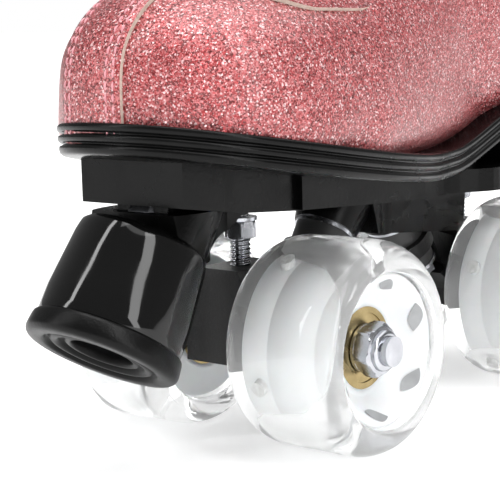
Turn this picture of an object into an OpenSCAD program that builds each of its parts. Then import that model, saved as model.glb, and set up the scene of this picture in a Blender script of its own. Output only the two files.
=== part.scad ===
// Quad roller skate with a high leather boot, a moulded plate, two sprung
// steering trucks, four clear light-up wheels and a toe stop.
// Toe towards -Y, left side of the skate towards +X, wheels stand on Z = 0.

/* [Wheels] */
// Radius of a wheel
wheel_r = 29; // [25:0.5:33]
// Width of a tyre
tyre_w = 36; // [30:0.5:40]
// Distance from tread middle to tread middle across the skate
track = 62; // [58:0.5:90]
// Distance from the front axle to the rear axle
wheelbase = 104; // [96:1:150]
// How far the hub sits inboard of the tread middle
hub_shift = 3; // [0:0.5:6]
// Radius of the core under the tyre
core_r = 20.5; // [17:0.5:23]
// Length of a tyre's rounded shoulder along the axle
shoulder_w = 9; // [3:0.5:12]
// Depth of a tyre's rounded shoulder
shoulder_h = 5.5; // [2:0.5:8]
// Number of light modules in one wheel
light_count = 4; // [2:1:8]

/* [Bearings and axles] */
// Radius of the axle
axle_r = 4; // [3:0.5:5]
// Outer radius of a ball bearing
bearing_r = 11; // [9:0.5:13]
// Width of a ball bearing
bearing_w = 7; // [5:0.5:9]
// Length of the spacer between a wheel's two bearings
spacer_w = 10; // [8:0.5:14]
// Number of balls in a bearing
ball_count = 7; // [5:1:9]
// Distance across the flats of an axle nut
axle_nut_af = 13; // [10:1:15]
// Length of an axle nut
axle_nut_h = 6.5; // [5:0.5:8]
// How far the axle stands out of its nut
axle_tip = 2; // [1:0.5:4]

/* [Trucks] */
// Height of the axles that the heights below are given with
axle_z = 29; // [25:0.5:33]
// Radius of the hanger's barrel
barrel_r = 7.5; // [6:0.5:9]
// Half width of the hanger's block
hanger_half_w = 12; // [9:0.5:14]
// Height of the pivot's centre above the ground
pivot_z = 67; // [62:0.5:75]
// How far the pivot lies outboard of the axle
pivot_out = 3; // [0:0.5:10]
// Height of the cushion ring's centre above the ground
ring_z = 45.5; // [42:0.5:52]
// How far the cushion ring lies inboard of the axle
ring_in = 30; // [24:0.5:34]
// Thickness of the cushion ring
ring_t = 5; // [4:0.5:8]
// Radius of the ring's bore
ring_bore_r = 5.4; // [5:0.1:6]
// Radius of the kingpin
kingpin_r = 4; // [3:0.5:5]
// Radius of a cushion
cushion_r = 8.5; // [7:0.5:10]
// Height of the upper cushion
upper_cushion_h = 6.5; // [5:0.5:10]
// Height of the lower cushion
lower_cushion_h = 5; // [4:0.5:8]
// Radius of the pivot bolt's shank
pivot_bolt_r = 3; // [2.5:0.25:4]
// Radius of the pivot bolt's ball
pivot_ball_r = 3.5; // [3:0.5:5]

/* [Plate] */
// Half width of the plate's front block
block_half_w = 18; // [15:0.5:26]
// Half width of the plate at the waist
waist_half_w = 20; // [14:0.5:26]
// Half width of the plate's rear platform
rear_half_w = 29; // [20:0.5:32]
// Height of the level rear part's underside
plate_z = 62; // [60:0.5:70]
// Thickness of the plate's rim
plate_t = 7; // [5:0.5:10]
// How far the plate's front stands before the front axle
plate_front = 45; // [40:1:60]
// How far the plate's back stands behind the rear axle
plate_back = 36; // [28:1:45]
// Half width of the centre beam
beam_half_w = 12; // [11:0.25:12]
// Depth of the centre beam below the rim
beam_h = 10; // [8:0.5:11]
// Radius of a plate screw's shank
screw_r = 2; // [1.5:0.25:2.5]

/* [Toe stop] */
// Radius of the toe stop at its top
stop_top_r = 17.5; // [14:0.5:19]
// Radius of the toe stop at its foot
stop_foot_r = 20.5; // [17:0.5:24]
// Length of the toe stop
stop_len = 33; // [26:1:40]
// Height of the rubber pad at the foot of the toe stop
pad_h = 6; // [4:0.5:9]
// Tilt of the toe stop from upright
stop_tilt = 32.5; // [28:0.5:38]
// Radius of the toe stop's bolt
stop_bolt_r = 4; // [3:0.5:5]

/* [Boot] */
// Length of the outsole
sole_len = 237; // [220:1:290]
// Half width of the outsole at the ball of the foot
ball_half_w = 43; // [38:0.5:50]
// Half width of the outsole at the heel
heel_half_w = 31; // [27:0.5:36]
// Thickness of the outsole
sole_t = 8; // [6:0.5:12]
// How far the toe tip stands before the front axle
toe_front = 62; // [55:1:80]
// Height of the boot's top above the ground
boot_top = 258; // [220:1:300]
// Thickness of the leather
leather_t = 1.6; // [1.2:0.1:2.5]
// Thickness of the lining
lining_t = 2; // [1.5:0.1:4]
// Thickness of a sewn overlay
overlay_t = 1.2; // [1:0.1:2]
// Half width of the strip sewn over the toe
toe_strip_half_w = 11; // [8:0.5:16]
// Pairs of eyelets
eyelet_pairs = 9; // [6:1:12]
// Radius of the lace
lace_r = 1.7; // [1.2:0.1:2.2]

/* [Hidden] */
$fn = 64;

// Fits between pieces
run_gap = 0.3;      // between curved faces that move past each other
ball_gap = 0.06;    // of a ball in its cup

// Wheel and bearing stations along the axle, from the middle of the skate
tread_x = track / 2;
hub_x = tread_x - hub_shift;
hub_half = bearing_w + spacer_w / 2;
shoulder_x = hub_x - hub_half;
face_x = hub_x + hub_half;
nut_washer_t = 1;
tip_x = face_x + nut_washer_t + axle_nut_h + axle_tip;
race_r = 6.2;
ball_pitch_r = (bearing_r + axle_r) / 2 + 0.1;
ball_r = 1.9;

// Steering axis, from the pivot's centre down to the ring's centre
steer_run = ring_in + pivot_out;
steer_drop = pivot_z - ring_z;
king_tilt = atan2(steer_drop, steer_run);
washer_t = 1.2;
ring_half = ring_t / 2;
king_top = ring_half + upper_cushion_h + washer_t;
king_nut_h = 5;
king_low = ring_half + lower_cushion_h + washer_t;

// Heights and stations of the plate and the boot; stations count from the
// front axle towards the heel
heel_end = sole_len - toe_front;
plate_end = wheelbase + plate_back;
block_end = 3;
rim_top = plate_z + plate_t;
heel_seat = rim_top + 21;

// The whole skate is centred on Y = 0
stop_foot_y = -58.5;
stop_foot_z = 31.8;
pad_round = 2;
front_reach = stop_foot_y - pad_round - (stop_foot_r - pad_round) * cos(stop_tilt)
  + pad_round * sin(stop_tilt);
y_shift = -(min(front_reach, -toe_front) + heel_end) / 2;

// Everything above the wheels rides up and down with their radius
ride = wheel_r - axle_z;
module at_front() { translate([0, y_shift, ride]) children(); }
module at_rear() {
  translate([0, y_shift + wheelbase, ride]) mirror([0, 1, 0]) children();
}
module both_sides() { children(); mirror([1, 0, 0]) children(); }
module along_x(x) { translate([x, 0, axle_z]) rotate([0, 90, 0]) children(); }

// ---- Outline and side profile of the sole ----

// Half width of the sole at share t of its length from the toe
function bell(t, a, b) = t <= a ? 0 : t >= b ? 1
  : (1 - cos(180 * (t - a) / (b - a))) / 2;
waist_w = 28;
function half_w(t) = t < 0.29
  ? ball_half_w * pow(1 - pow(1 - t / 0.29, 2.35), 1 / 2.35)
  : t < 0.62 ? ball_half_w + (waist_w - ball_half_w) * bell(t, 0.29, 0.62)
  : t < 0.86 ? waist_w + (heel_half_w - waist_w) * bell(t, 0.62, 0.86)
  : heel_half_w * pow(max(0, 1 - pow((t - 0.86) / 0.14, 2.2)), 1 / 2.2);
toe_swing = 7;
function middle_x(t) = toe_swing * (1 - bell(t, 0.05, 0.45));
steps = 30;
function share(i) = (1 - cos(180 * i / steps)) / 2;
function outline(inset) = let (len = sole_len - 2 * inset) concat(
  [for (i = [0 : steps]) let (t = share(i))
    [middle_x(t) + half_w(t) * (1 - inset / ball_half_w) , -toe_front + inset + t * len]],
  [for (i = [steps - 1 : -1 : 1]) let (t = share(i))
    [middle_x(t) - half_w(t) * (1 - inset / ball_half_w), -toe_front + inset + t * len]]);

// Height of the sole's top edge at station y
ball_top = rim_top + 8;
toe_top = ball_top + 15;
seat_top = heel_seat + sole_t * 0.6;
arch_y = 58;
function sole_top(y) = y < 45
  ? ball_top + (toe_top - ball_top) * pow((45 - y) / (45 + toe_front), 1.35)
  : ball_top + (seat_top - ball_top) * bell(y, arch_y, arch_y + 70);
profile_steps = 28;
function stations(a, b) = [for (i = [0 : profile_steps]) a + (b - a) * i / profile_steps];
module side_slab(top_off, low_off) {
  ys = stations(-toe_front - 5, heel_end + 5);
  rotate([90, 0, 90]) translate([0, 0, -60]) linear_extrude(120)
    polygon(concat([for (y = ys) [y, sole_top(y) + top_off]],
      [for (i = [profile_steps : -1 : 0]) [ys[i], sole_top(ys[i]) + low_off]]));
}
module sole_layer(inset, top_off, low_off) {
  intersection() {
    side_slab(top_off, low_off);
    translate([0, 0, 50]) linear_extrude(120) polygon(outline(inset));
  }
}

// ---- Boot forms ----

module blob(x, y, z, rx, ry, rz) { translate([x, y, z]) scale([rx, ry, rz]) sphere(1, $fn = 28); }
module disc(y, z, rx, ry, tilt) {
  translate([0, y, z]) rotate([tilt, 0, 0]) scale([rx, ry, 1]) cylinder(r = 1, h = 0.4, $fn = 36);
}
shaft_front = 84;
shaft_back = 158;
shaft_mid = (shaft_front + shaft_back) / 2;
shaft_ry = (shaft_back - shaft_front) / 2;
shaft_rx = 31;
top_tilt = -7;
module foot_form(g) {
  hull() {
    blob(toe_swing - 1, -22, 102, 38 + g, 38 + g, 26 + g);
    blob(toe_swing - 2, -19, 88, 40 + g, 41 + g, 20 + g);
    blob(1.5, 5, 100, 41 + g, 34 + g, 33 + g);
  }
  hull() {
    blob(1.5, 5, 100, 41 + g, 34 + g, 33 + g);
    blob(1.5, 4, 84, 42 + g, 34 + g, 16 + g);
    blob(0, 58, 118, 29 + g, 44 + g, 40 + g);
    blob(0, 70, 92, 25 + g, 40 + g, 20 + g);
  }
  hull() {
    blob(0, 62, 122, 29 + g, 42 + g, 44 + g);
    blob(0, 132, 122, 29.5 + g, 40 + g, 30 + g);
    blob(0, 118, 160, 28 + g, 41 + g, 30 + g);
    blob(0, 75, 94, 24 + g, 40 + g, 16 + g);
    blob(0, 139, 100, 29.5 + g, 32 + g, 20 + g);
  }
}
module shaft_form(g) {
  hull() {
    blob(0, 84, 140, 28 + g, 42 + g, 44 + g);
    blob(0, 118, 160, 28 + g, 41 + g, 30 + g);
    disc(122, 205, 28 + g, 37.5 + g, 0);
    disc(shaft_mid, boot_top + 30, shaft_rx + g, shaft_ry + g, 0);
  }
}
module boot_block(g) {
  foot_form(g);
  shaft_form(g);
}
// Everything below a plane that crosses the shaft at height top
module below(top) {
  translate([0, shaft_mid, top]) rotate([top_tilt, 0, 0]) translate([-100, -300, -300]) cube([200, 600, 300]);
}
module boot_form(g, top) {
  intersection() {
    boot_block(g);
    side_slab(220, 0);
    below(top);
  }
}
throat_y = 2;
throat_z = 132;

cuff = boot_top - 12;
module boot_upper() color([0.80, 0.28, 0.33]) at_front() difference() {
  boot_form(0, cuff);
  boot_block(-leather_t);
  throat(6, 0);
}
// Wedge-shaped slot down the front of the boot, for the tongue
module throat(w, grow) {
  rotate([90, 0, 90]) translate([0, 0, -w]) linear_extrude(2 * w)
    polygon([[throat_y - grow, throat_z - 8], [throat_y - grow, 330], [shaft_mid - 16, 330],
      [shaft_mid - 16, 215], [62, 168], [30, 138]]);
}
module shell_patch(g0, g1, top) {
  difference() {
    boot_form(g1, top);
    boot_block(g0);
  }
}
module toe_strip() color([0.86, 0.36, 0.42]) at_front() difference() {
  intersection() {
    shell_patch(0, overlay_t, cuff);
    translate([toe_swing - toe_strip_half_w - 6, -90, 60]) cube([2 * toe_strip_half_w, 84, 120]);
  }
  eyestay_room();
}
// The facing beside the throat and its lobes in front of it
module eyestay_room() {
  throat(24, 13);
  rotate([90, 0, 90]) translate([0, 0, -60]) linear_extrude(120)
    polygon([[-27, 121.5], [-24, 118.6], [-18, 118], [-3, 118], [1, 119.5], [3, 123], [3, 175], [-27, 175]]);
}
module eyestay() color([0.82, 0.30, 0.35]) at_front() difference() {
  intersection() {
    shell_patch(0, overlay_t, cuff);
    eyestay_room();
  }
  throat(9, 0);
}
module heel_counter() color([0.82, 0.30, 0.35]) at_front() intersection() {
  shell_patch(0, overlay_t, cuff);
  union() {
    translate([-60, 120, 60]) cube([120, 80, 82]);
    translate([-11, 120, 60]) cube([22, 80, 176]);
  }
}
module collar() color([0.75, 0.26, 0.30]) at_front() difference() {
  intersection() {
    shaft_form(overlay_t);
    below(boot_top);
  }
  shaft_form(-leather_t - lining_t);
  below(cuff);
  throat(14, 0);
}
module lining() color([0.9, 0.88, 0.86]) at_front() difference() {
  boot_form(-leather_t, cuff);
  boot_block(-leather_t - lining_t);
  throat(14, 6.3);
}
module tongue() color([0.80, 0.28, 0.33]) at_front() intersection() {
  difference() {
    boot_form(-leather_t - lining_t - 0.2, boot_top + 12);
    boot_block(-leather_t - lining_t - 5);
  }
  rotate([90, 0, 90]) translate([0, 0, -19]) linear_extrude(38)
    polygon([[8, 118], [8, 200], [60, 300], [shaft_mid - 20, 300], [shaft_mid - 22, 205], [70, 160]]);
}
module insole() color([0.92, 0.9, 0.88]) at_front() intersection() {
  boot_form(-leather_t - lining_t, 180);
  side_slab(3.2, 0);
}
module sole_stack() {
  third = sole_t / 3;
  groove = 0.9;
  sole_layer(0, 0, -third + groove / 2);
  sole_layer(1, -third + groove / 2, -third - groove / 2);
  sole_layer(0.3, -third - groove / 2, -2 * third + groove / 2);
  sole_layer(1.3, -2 * third + groove / 2, -2 * third - groove / 2);
  sole_layer(0.8, -2 * third - groove / 2, -sole_t);
}
module outsole() color([0.03, 0.03, 0.03]) at_front() difference() {
  sole_stack();
  screw_holes();
}
heel_front = wheelbase - 6;
module heel_block() color([0.03, 0.03, 0.03]) at_front() difference() {
  intersection() {
    translate([0, 0, 50]) linear_extrude(120) polygon(outline(2.5));
    rotate([90, 0, 90]) translate([0, 0, -60]) linear_extrude(120)
      polygon([[heel_front + 4, rim_top], [heel_end + 5, rim_top], [heel_end + 5, 130],
        [heel_front - 10, 130]]);
  }
  side_slab(200, -sole_t);
  screw_holes();
  translate([0, wheelbase + pivot_out, plate_z]) cylinder(r = cup_r + 5.2, h = plate_t + cup_h);
}

// ---- Laces: crossings over the tongue between the eyelet rows ----

// Point i of the facing line, counted up from the throat
lace_line = [[14, 138], [28, 149], [42, 160], [55, 172], [65, 186], [72, 201], [77, 215],
  [80, 228], [82, 240]];
function spot(i) = i * (len(lace_line) - 1) / (eyelet_pairs - 1);
function eye_point(i) =
  let (k = min(floor(spot(i)), len(lace_line) - 2), f = spot(i) - k)
    (1 - f) * lace_line[k] + f * lace_line[k + 1];
function eye_slope(i) =
  let (j = min(i, eyelet_pairs - 2), d = eye_point(j + 1) - eye_point(j)) atan2(d[1], d[0]);
eye_x = 14;
module at_eye(i) {
  p = eye_point(i);
  translate([0, p[0], p[1]]) rotate([eye_slope(i), 0, 0]) children();
}
module laces() color("white") at_front() intersection() {
  shell_patch(overlay_t + 0.9, overlay_t + 0.9 + 2 * lace_r, boot_top);
  for (i = [0 : eyelet_pairs - 1]) at_eye(i)
    translate([-eye_x - 3, -lace_r, -12]) cube([2 * eye_x + 6, 2 * lace_r, 30]);
}
module eyelets() color("silver") at_front() intersection() {
  shell_patch(overlay_t, overlay_t + 0.8, boot_top);
  for (i = [0 : eyelet_pairs - 1]) both_sides() at_eye(i) translate([eye_x, 0, -12]) difference() {
    cylinder(r = 3.4, h = 30, $fn = 24);
    translate([0, 0, -1]) cylinder(r = 2, h = 32, $fn = 24);
  }
}

// ---- Plate ----

module yz_plate(half_w, points) {
  rotate([90, 0, 90]) translate([0, 0, -half_w]) linear_extrude(2 * half_w) polygon(points);
}
module king_frame() {
  translate([0, ring_in, ring_z]) rotate([-king_tilt, 0, 0]) children();
}
module kingpin_boss() {
  king_frame() translate([0, 0, king_top]) cylinder(r1 = cushion_r + 1, r2 = cushion_r + 5, h = 22);
}
module kingpin_cut() {
  king_frame() translate([0, 0, king_top - 1]) cylinder(r = kingpin_r, h = 16 + 1);
}
cup_r = pivot_ball_r + 3.5;
cup_h = 7;
cup_low = pivot_z - 3.2;
module cup_seat() {
  translate([0, -pivot_out, cup_low - 10]) cylinder(r = cup_r, h = 10 + cup_h + 1.4);
}
module toe_stop_frame() {
  translate([0, stop_foot_y, stop_foot_z]) rotate([-stop_tilt, 0, 0]) children();
}
screw_spots = [[11, -22], [-11, -22], [15, 50], [-15, 50], [15, wheelbase + 24], [-15, wheelbase + 24]];
block_low = plate_z + 2.5;
beam_low = plate_z - beam_h;
beam_front = 46;
module plate() color([0.02, 0.02, 0.02]) at_front() difference() {
  union() {
    // front block under the toe, and the rim that runs back from it
    yz_plate(block_half_w, [[block_end, block_low - 0.5], [-22, block_low + 1.5],
      [-plate_front, block_low + 5],
      [-plate_front, 100], [block_end, 100]]);
    linear_extrude_between(plate_z, rim_top) waist_outline();
    yz_plate(waist_half_w, [[46, plate_z], [0, block_low], [0, 100], [46, 100]]);
    // centre beam between the trucks, and the two ribs that run back from it
    yz_plate(beam_half_w, [[43, plate_z + 1], [beam_front, beam_low], [57, beam_low - 1], [59, plate_z + 1]]);
    both_sides() rotate([90, 0, 90]) translate([0, 0, cushion_r + 2.3])
      linear_extrude(beam_half_w - cushion_r - 2.3)
      polygon([[44, plate_z + 1], [beam_front, beam_low], [wheelbase - 12, beam_low - 4.3],
        [wheelbase - 10, plate_z + 1]]);
    intersection() {
      union() {
        kingpin_boss();
        translate([0, wheelbase, 0]) mirror([0, 1, 0]) kingpin_boss();
      }
      translate([-waist_half_w, 0, 40]) cube([2 * waist_half_w, wheelbase, plate_z + 2 - 40]);
    }
    // rear pivot housing
    translate([0, wheelbase + pivot_out, plate_z]) cylinder(r = cup_r + 5, h = plate_t + cup_h - 2);
    // bracket that carries the toe stop
    yz_plate(9, [[-plate_front + 4, 70], [-42, 62], [-30, 52], [-26, 53], [-19, 60], [-9, 66], [-9, 70]]);
    intersection() {
      toe_stop_frame() translate([0, 0, stop_len]) cylinder(r = stop_top_r - 1, h = 14);
      translate([-30, -plate_front, 40]) cube([60, 60, block_low + 3 - 40]);
    }
  }
  side_slab(200, -sole_t);
  toe_stop_frame() cylinder(r = stop_foot_r + 2, h = stop_len);
  cup_seat();
  translate([0, wheelbase, 0]) mirror([0, 1, 0]) cup_seat();
  kingpin_cut();
  translate([0, wheelbase, 0]) mirror([0, 1, 0]) kingpin_cut();
  toe_stop_frame() translate([0, 0, stop_len - 1]) cylinder(r = stop_bolt_r, h = 20);
  toe_stop_frame() translate([0, 0, stop_len + 4]) hexagon(12, 30);
  screw_holes();
  for (s = screw_spots) translate([s[0], s[1], 40]) cylinder(r = screw_r + 2.1, h = screw_seat(s[1]) - 40);
}
module linear_extrude_between(z0, z1) { translate([0, 0, z0]) linear_extrude(z1 - z0) children(); }
module waist_outline() {
  w = waist_half_w;
  r = rear_half_w;
  polygon(concat([[-w, 45], [w, 45]],
    [for (i = [0 : 8]) [w + (r - w) * bell(i / 8, 0, 1), 66 + i * 2.5]],
    [for (i = [0 : 12]) [r * cos(i * 7.5), plate_end - 20 + 20 * sin(i * 7.5)]],
    [for (i = [12 : -1 : 0]) [-r * cos(i * 7.5), plate_end - 20 + 20 * sin(i * 7.5)]],
    [for (i = [8 : -1 : 0]) [-w - (r - w) * bell(i / 8, 0, 1), 66 + i * 2.5]]));
}
function screw_seat(y) = y < 0 ? plate_z + 8 : plate_z + 4.5;
function screw_len(y) = sole_top(y) - 2 - screw_seat(y);
module screw_holes() {
  for (s = screw_spots) translate([s[0], s[1], screw_seat(s[1])])
    cylinder(r = screw_r, h = screw_len(s[1]), $fn = 32);
}
module plate_screws() color("silver") at_front() {
  screw_holes();
  for (s = screw_spots) translate([s[0], s[1], screw_seat(s[1]) - 2.4]) difference() {
    cylinder(r = screw_r + 1.8, h = 2.4, $fn = 32);
    translate([0, 0, -0.1]) cylinder(r = 1.6, h = 1.5, $fn = 6);
  }
}

// ---- Toe stop ----

cone_low = pad_h;
function stop_r(h) = stop_foot_r + (stop_top_r - stop_foot_r) * h / stop_len;
module toe_stop_cone() color([0.02, 0.02, 0.02]) at_front() toe_stop_frame() difference() {
  translate([0, 0, cone_low])
    cylinder(r1 = stop_r(cone_low) - 0.7, r2 = stop_top_r, h = stop_len - cone_low, $fn = 96);
  cylinder(r = stop_bolt_r, h = 60);
  translate([0, 0, -1]) cylinder(r = 8, h = 15);
}
module toe_stop_pad() color([0.03, 0.03, 0.03]) at_front() toe_stop_frame() rotate_extrude($fn = 96)
  polygon(concat([[8.3, pad_h], [8.3, 1.6], [9.4, 1.2], [10.2, 1.6], [10.6, 2.4], [11.4, 2.4],
    [11.8, 0.9], [12.8, 0.5],
    [13.8, 0.9], [14.2, 1.8], [15, 1.8], [15.4, 0]], [for (i = [0 : 5]) let (a = 90 * i / 5)
    [stop_foot_r - 2 + 2 * sin(a), 2 - 2 * cos(a)]], [[stop_r(pad_h) + 0.1, pad_h]]));
module hexagon(af, h) { cylinder(r = af / sqrt(3), h = h, $fn = 6); }
module toe_stop_bolt() color("silver") at_front() toe_stop_frame() {
  translate([0, 0, 8.6]) hexagon(12, 5.4);
  translate([0, 0, 14]) cylinder(r = stop_bolt_r, h = stop_len + 11 - 14, $fn = 48);
}
module toe_stop_nut() color("silver") at_front() toe_stop_frame()
translate([0, 0, stop_len + 4]) difference() {
  hexagon(12, 5);
  translate([0, 0, -1]) cylinder(r = stop_bolt_r, h = 8);
}

// ---- Truck, drawn for the front; the rear one is its mirror image ----

bolt_low = 38;
hanger_top = 48.5;
module hanger() color([0.05, 0.05, 0.05]) difference() {
  union() {
    along_x(-shoulder_x) cylinder(r = barrel_r, h = 2 * shoulder_x);
    // block round the axle, bevelled at its top corners
    rotate([90, 0, 0]) translate([0, 0, -9]) linear_extrude(22)
      polygon([[-hanger_half_w, 22], [hanger_half_w, 22], [hanger_half_w, 38],
        [7, hanger_top], [-7, hanger_top],
        [-hanger_half_w, 38]]);
    // arm back to the cushion ring
    yz_plate(7, [[5, 24], [5, 44], [ring_in - 7, ring_z + 3.5], [ring_in - 4, ring_z - 5], [12, 30]]);
    king_frame() translate([0, 0, -ring_half]) cylinder(r = cushion_r + 1.8, h = ring_t);
  }
  along_x(-60) cylinder(r = axle_r, h = 120);
  translate([0, -pivot_out, bolt_low]) cylinder(r = pivot_bolt_r, h = 30);
  king_frame() translate([0, 0, -40]) cylinder(r = ring_bore_r, h = 80);
  king_frame() translate([0, 0, ring_half]) cylinder(r = cushion_r + 3.5, h = 40);
  king_frame() translate([0, 0, -ring_half - 14]) cylinder(r = cushion_r + 1.5, h = 14);
}
module pivot_bolt() color("silver") translate([0, -pivot_out, 0]) {
  translate([0, 0, bolt_low]) cylinder(r = pivot_bolt_r, h = pivot_z - bolt_low - 3.9);
  translate([0, 0, pivot_z - 4]) cylinder(r = pivot_ball_r - 1.4, h = 3);
  translate([0, 0, pivot_z]) sphere(pivot_ball_r);
}
module pivot_locknut() color("silver") translate([0, -pivot_out, pivot_z - 11]) difference() {
  union() {
    cylinder(r = pivot_bolt_r + 1.9, h = 1.1);
    hexagon(2 * pivot_bolt_r + 2.6, 5);
  }
  translate([0, 0, -1]) cylinder(r = pivot_bolt_r, h = 8);
}
module pivot_cup() color([0.85, 0.83, 0.75]) translate([0, -pivot_out, 0]) difference() {
  translate([0, 0, cup_low]) cylinder(r = cup_r, h = cup_h + 1.4);
  translate([0, 0, pivot_z]) sphere(pivot_ball_r + ball_gap);
  translate([0, 0, cup_low - 1]) cylinder(r1 = pivot_ball_r + 2.2, r2 = pivot_ball_r - 0.6, h = 4.2);
}
module kingpin() color("silver") king_frame() {
  translate([0, 0, -king_low - king_nut_h - 1.5])
    cylinder(r = kingpin_r, h = king_low + king_nut_h + 1.5 + king_top + 15);
}
module kingpin_nut() color("silver") king_frame() translate([0, 0, -king_low - king_nut_h]) difference() {
  hexagon(13, king_nut_h);
  translate([0, 0, -1]) cylinder(r = kingpin_r, h = king_nut_h + 2);
}
module washer_at(z) {
  translate([0, 0, z]) difference() {
    cylinder(r = cushion_r + 0.5, h = washer_t);
    translate([0, 0, -1]) cylinder(r = kingpin_r, h = washer_t + 2);
  }
}
module cushion_washers() color("silver") king_frame() {
  washer_at(ring_half + upper_cushion_h);
  washer_at(-king_low);
}
module cushion(z, h) {
  king_frame() translate([0, 0, z]) difference() {
    cylinder(r = cushion_r, h = h);
    translate([0, 0, -1]) cylinder(r = kingpin_r + 0.2, h = h + 2);
  }
}
module upper_cushion() color([0.85, 0.2, 0.25]) cushion(ring_half, upper_cushion_h);
module lower_cushion() color([0.85, 0.2, 0.25]) cushion(-ring_half - lower_cushion_h, lower_cushion_h);
module axle() color("silver") along_x(-tip_x) cylinder(r = axle_r, h = 2 * tip_x);
module axle_nuts() color("silver") both_sides() along_x(face_x) difference() {
  union() {
    cylinder(r = 6.6, h = nut_washer_t);
    translate([0, 0, nut_washer_t]) intersection() {
      hexagon(axle_nut_af, axle_nut_h);
      cylinder(r1 = axle_nut_af / 2 + 4, r2 = axle_nut_af / 2 - 0.6, h = axle_nut_h + 1);
    }
  }
  translate([0, 0, -1]) cylinder(r = axle_r, h = 20);
}
bearing_spots = [shoulder_x, face_x - bearing_w];
module bearing_inners() color("silver") both_sides() for (x = bearing_spots) along_x(x) {
  difference() {
    cylinder(r = race_r, h = bearing_w);
    translate([0, 0, -1]) cylinder(r = axle_r, h = bearing_w + 2);
    translate([0, 0, bearing_w / 2]) rotate_extrude() translate([ball_pitch_r, 0]) circle(ball_r);
  }
  for (k = [1 : ball_count]) rotate([0, 0, 360 * k / ball_count]) translate([ball_pitch_r, 0, bearing_w / 2])
    sphere(ball_r, $fn = 24);
}
module magnets() color([0.6, 0.6, 0.62]) both_sides() along_x(hub_x - spacer_w / 2) difference() {
  cylinder(r = 7, h = spacer_w);
  translate([0, 0, -1]) cylinder(r = axle_r, h = spacer_w + 2);
}

// ---- Wheel, drawn for the left side; the right one is its mirror image ----

function shoulder(s) = [for (i = [0 : 6]) let (a = 15 * i)
  [wheel_r - shoulder_h + shoulder_h * cos(a), s * (tyre_w / 2 - shoulder_w + shoulder_w * sin(a))]];
function back_shoulder(s) = let (p = shoulder(s)) [for (i = [6 : -1 : 0]) p[i]];
module tyre() color([0.9, 0.92, 0.95, 0.5]) along_x(tread_x) difference() {
  rotate_extrude($fn = 96) polygon(concat([[core_r, -tyre_w / 2 + 4], [core_r + 1.5, -tyre_w / 2]],
    back_shoulder(-1), [for (i = [1 : 6]) shoulder(1)[i]],
    [[core_r + 0.5, tyre_w / 2], [core_r, tyre_w / 2 - 2]]));
  light_spots(0.1);
}
core_half = tyre_w / 2 - 4;
module core() color([0.93, 0.94, 0.96]) along_x(tread_x) difference() {
  rotate_extrude($fn = 96) polygon([[bearing_r + 1.6, -hub_shift - hub_half],
    [core_r - 3, -core_half], [core_r, -core_half], [core_r, core_half + 2], [core_r - 1.2, core_half + 2],
    [bearing_r + 2.2, hub_half - hub_shift], [bearing_r, hub_half - hub_shift],
    [bearing_r, hub_half - hub_shift - bearing_w],
    [bearing_r - 1.5, hub_half - hub_shift - bearing_w], [bearing_r - 1.5, -hub_shift - hub_half + bearing_w],
    [bearing_r, -hub_shift - hub_half + bearing_w], [bearing_r, -hub_shift - hub_half]]);
  light_spots(0.1);
}
// Light modules stand on the core and reach into the tyre
light_x = hub_x - 5.5;
light_turn = 22;
module light_spots(grow) {
  for (k = [1 : light_count]) rotate([0, 0, light_turn + 360 * k / light_count])
    translate([core_r - 3 - grow, 0, light_x - tread_x]) rotate([0, 90, 0])
      cylinder(r = 2 + grow, h = 5.5 + 2 * grow, $fn = 32);
}
module lights() color([0.3, 0.7, 0.95]) along_x(tread_x) light_spots(0);
module bearings() color([0.8, 0.65, 0.3]) for (x = bearing_spots) along_x(x) rotate_extrude() difference() {
  polygon([[race_r + run_gap, 0.35], [bearing_r - 1.6, 0.35], [bearing_r - 1.6, 0], [bearing_r, 0],
    [bearing_r, bearing_w],
    [bearing_r - 1.6, bearing_w], [bearing_r - 1.6, bearing_w - 0.35], [race_r + run_gap, bearing_w - 0.35],
    [race_r + run_gap, bearing_w - 0.9], [bearing_r - 2.1, bearing_w - 0.9], [bearing_r - 2.1, 0.9],
    [race_r + run_gap, 0.9]]);
  translate([ball_pitch_r, bearing_w / 2]) circle(ball_r + 0.1);
}

boot_upper();
toe_strip();
eyestay();
heel_counter();
collar();
lining();
tongue();
insole();
outsole();
heel_block();
laces();
eyelets();
plate();
plate_screws();
toe_stop_cone();
toe_stop_pad();
toe_stop_bolt();
toe_stop_nut();
at_front() hanger();  // front_hanger
at_front() pivot_bolt();  // front_pivot_bolt
at_front() pivot_locknut();  // front_pivot_locknut
at_front() pivot_cup();  // front_pivot_cup
at_front() kingpin();  // front_kingpin
at_front() kingpin_nut();  // front_kingpin_nut
at_front() cushion_washers();  // front_cushion_washers
at_front() upper_cushion();  // front_upper_cushion
at_front() lower_cushion();  // front_lower_cushion
at_front() axle();  // front_axle
at_front() axle_nuts();  // front_axle_nuts
at_front() bearing_inners();  // front_bearing_inners
at_front() magnets();  // front_magnets
at_rear() hanger();  // rear_hanger
at_rear() pivot_bolt();  // rear_pivot_bolt
at_rear() pivot_locknut();  // rear_pivot_locknut
at_rear() pivot_cup();  // rear_pivot_cup
at_rear() kingpin();  // rear_kingpin
at_rear() kingpin_nut();  // rear_kingpin_nut
at_rear() cushion_washers();  // rear_cushion_washers
at_rear() upper_cushion();  // rear_upper_cushion
at_rear() lower_cushion();  // rear_lower_cushion
at_rear() axle();  // rear_axle
at_rear() axle_nuts();  // rear_axle_nuts
at_rear() bearing_inners();  // rear_bearing_inners
at_rear() magnets();  // rear_magnets
at_front() tyre();  // front_left_tyre
at_front() core();  // front_left_core
at_front() bearings();  // front_left_bearings
at_front() lights();  // front_left_lights
at_front() mirror([1, 0, 0]) tyre();  // front_right_tyre
at_front() mirror([1, 0, 0]) core();  // front_right_core
at_front() mirror([1, 0, 0]) bearings();  // front_right_bearings
at_front() mirror([1, 0, 0]) lights();  // front_right_lights
at_rear() tyre();  // rear_left_tyre
at_rear() core();  // rear_left_core
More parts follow.
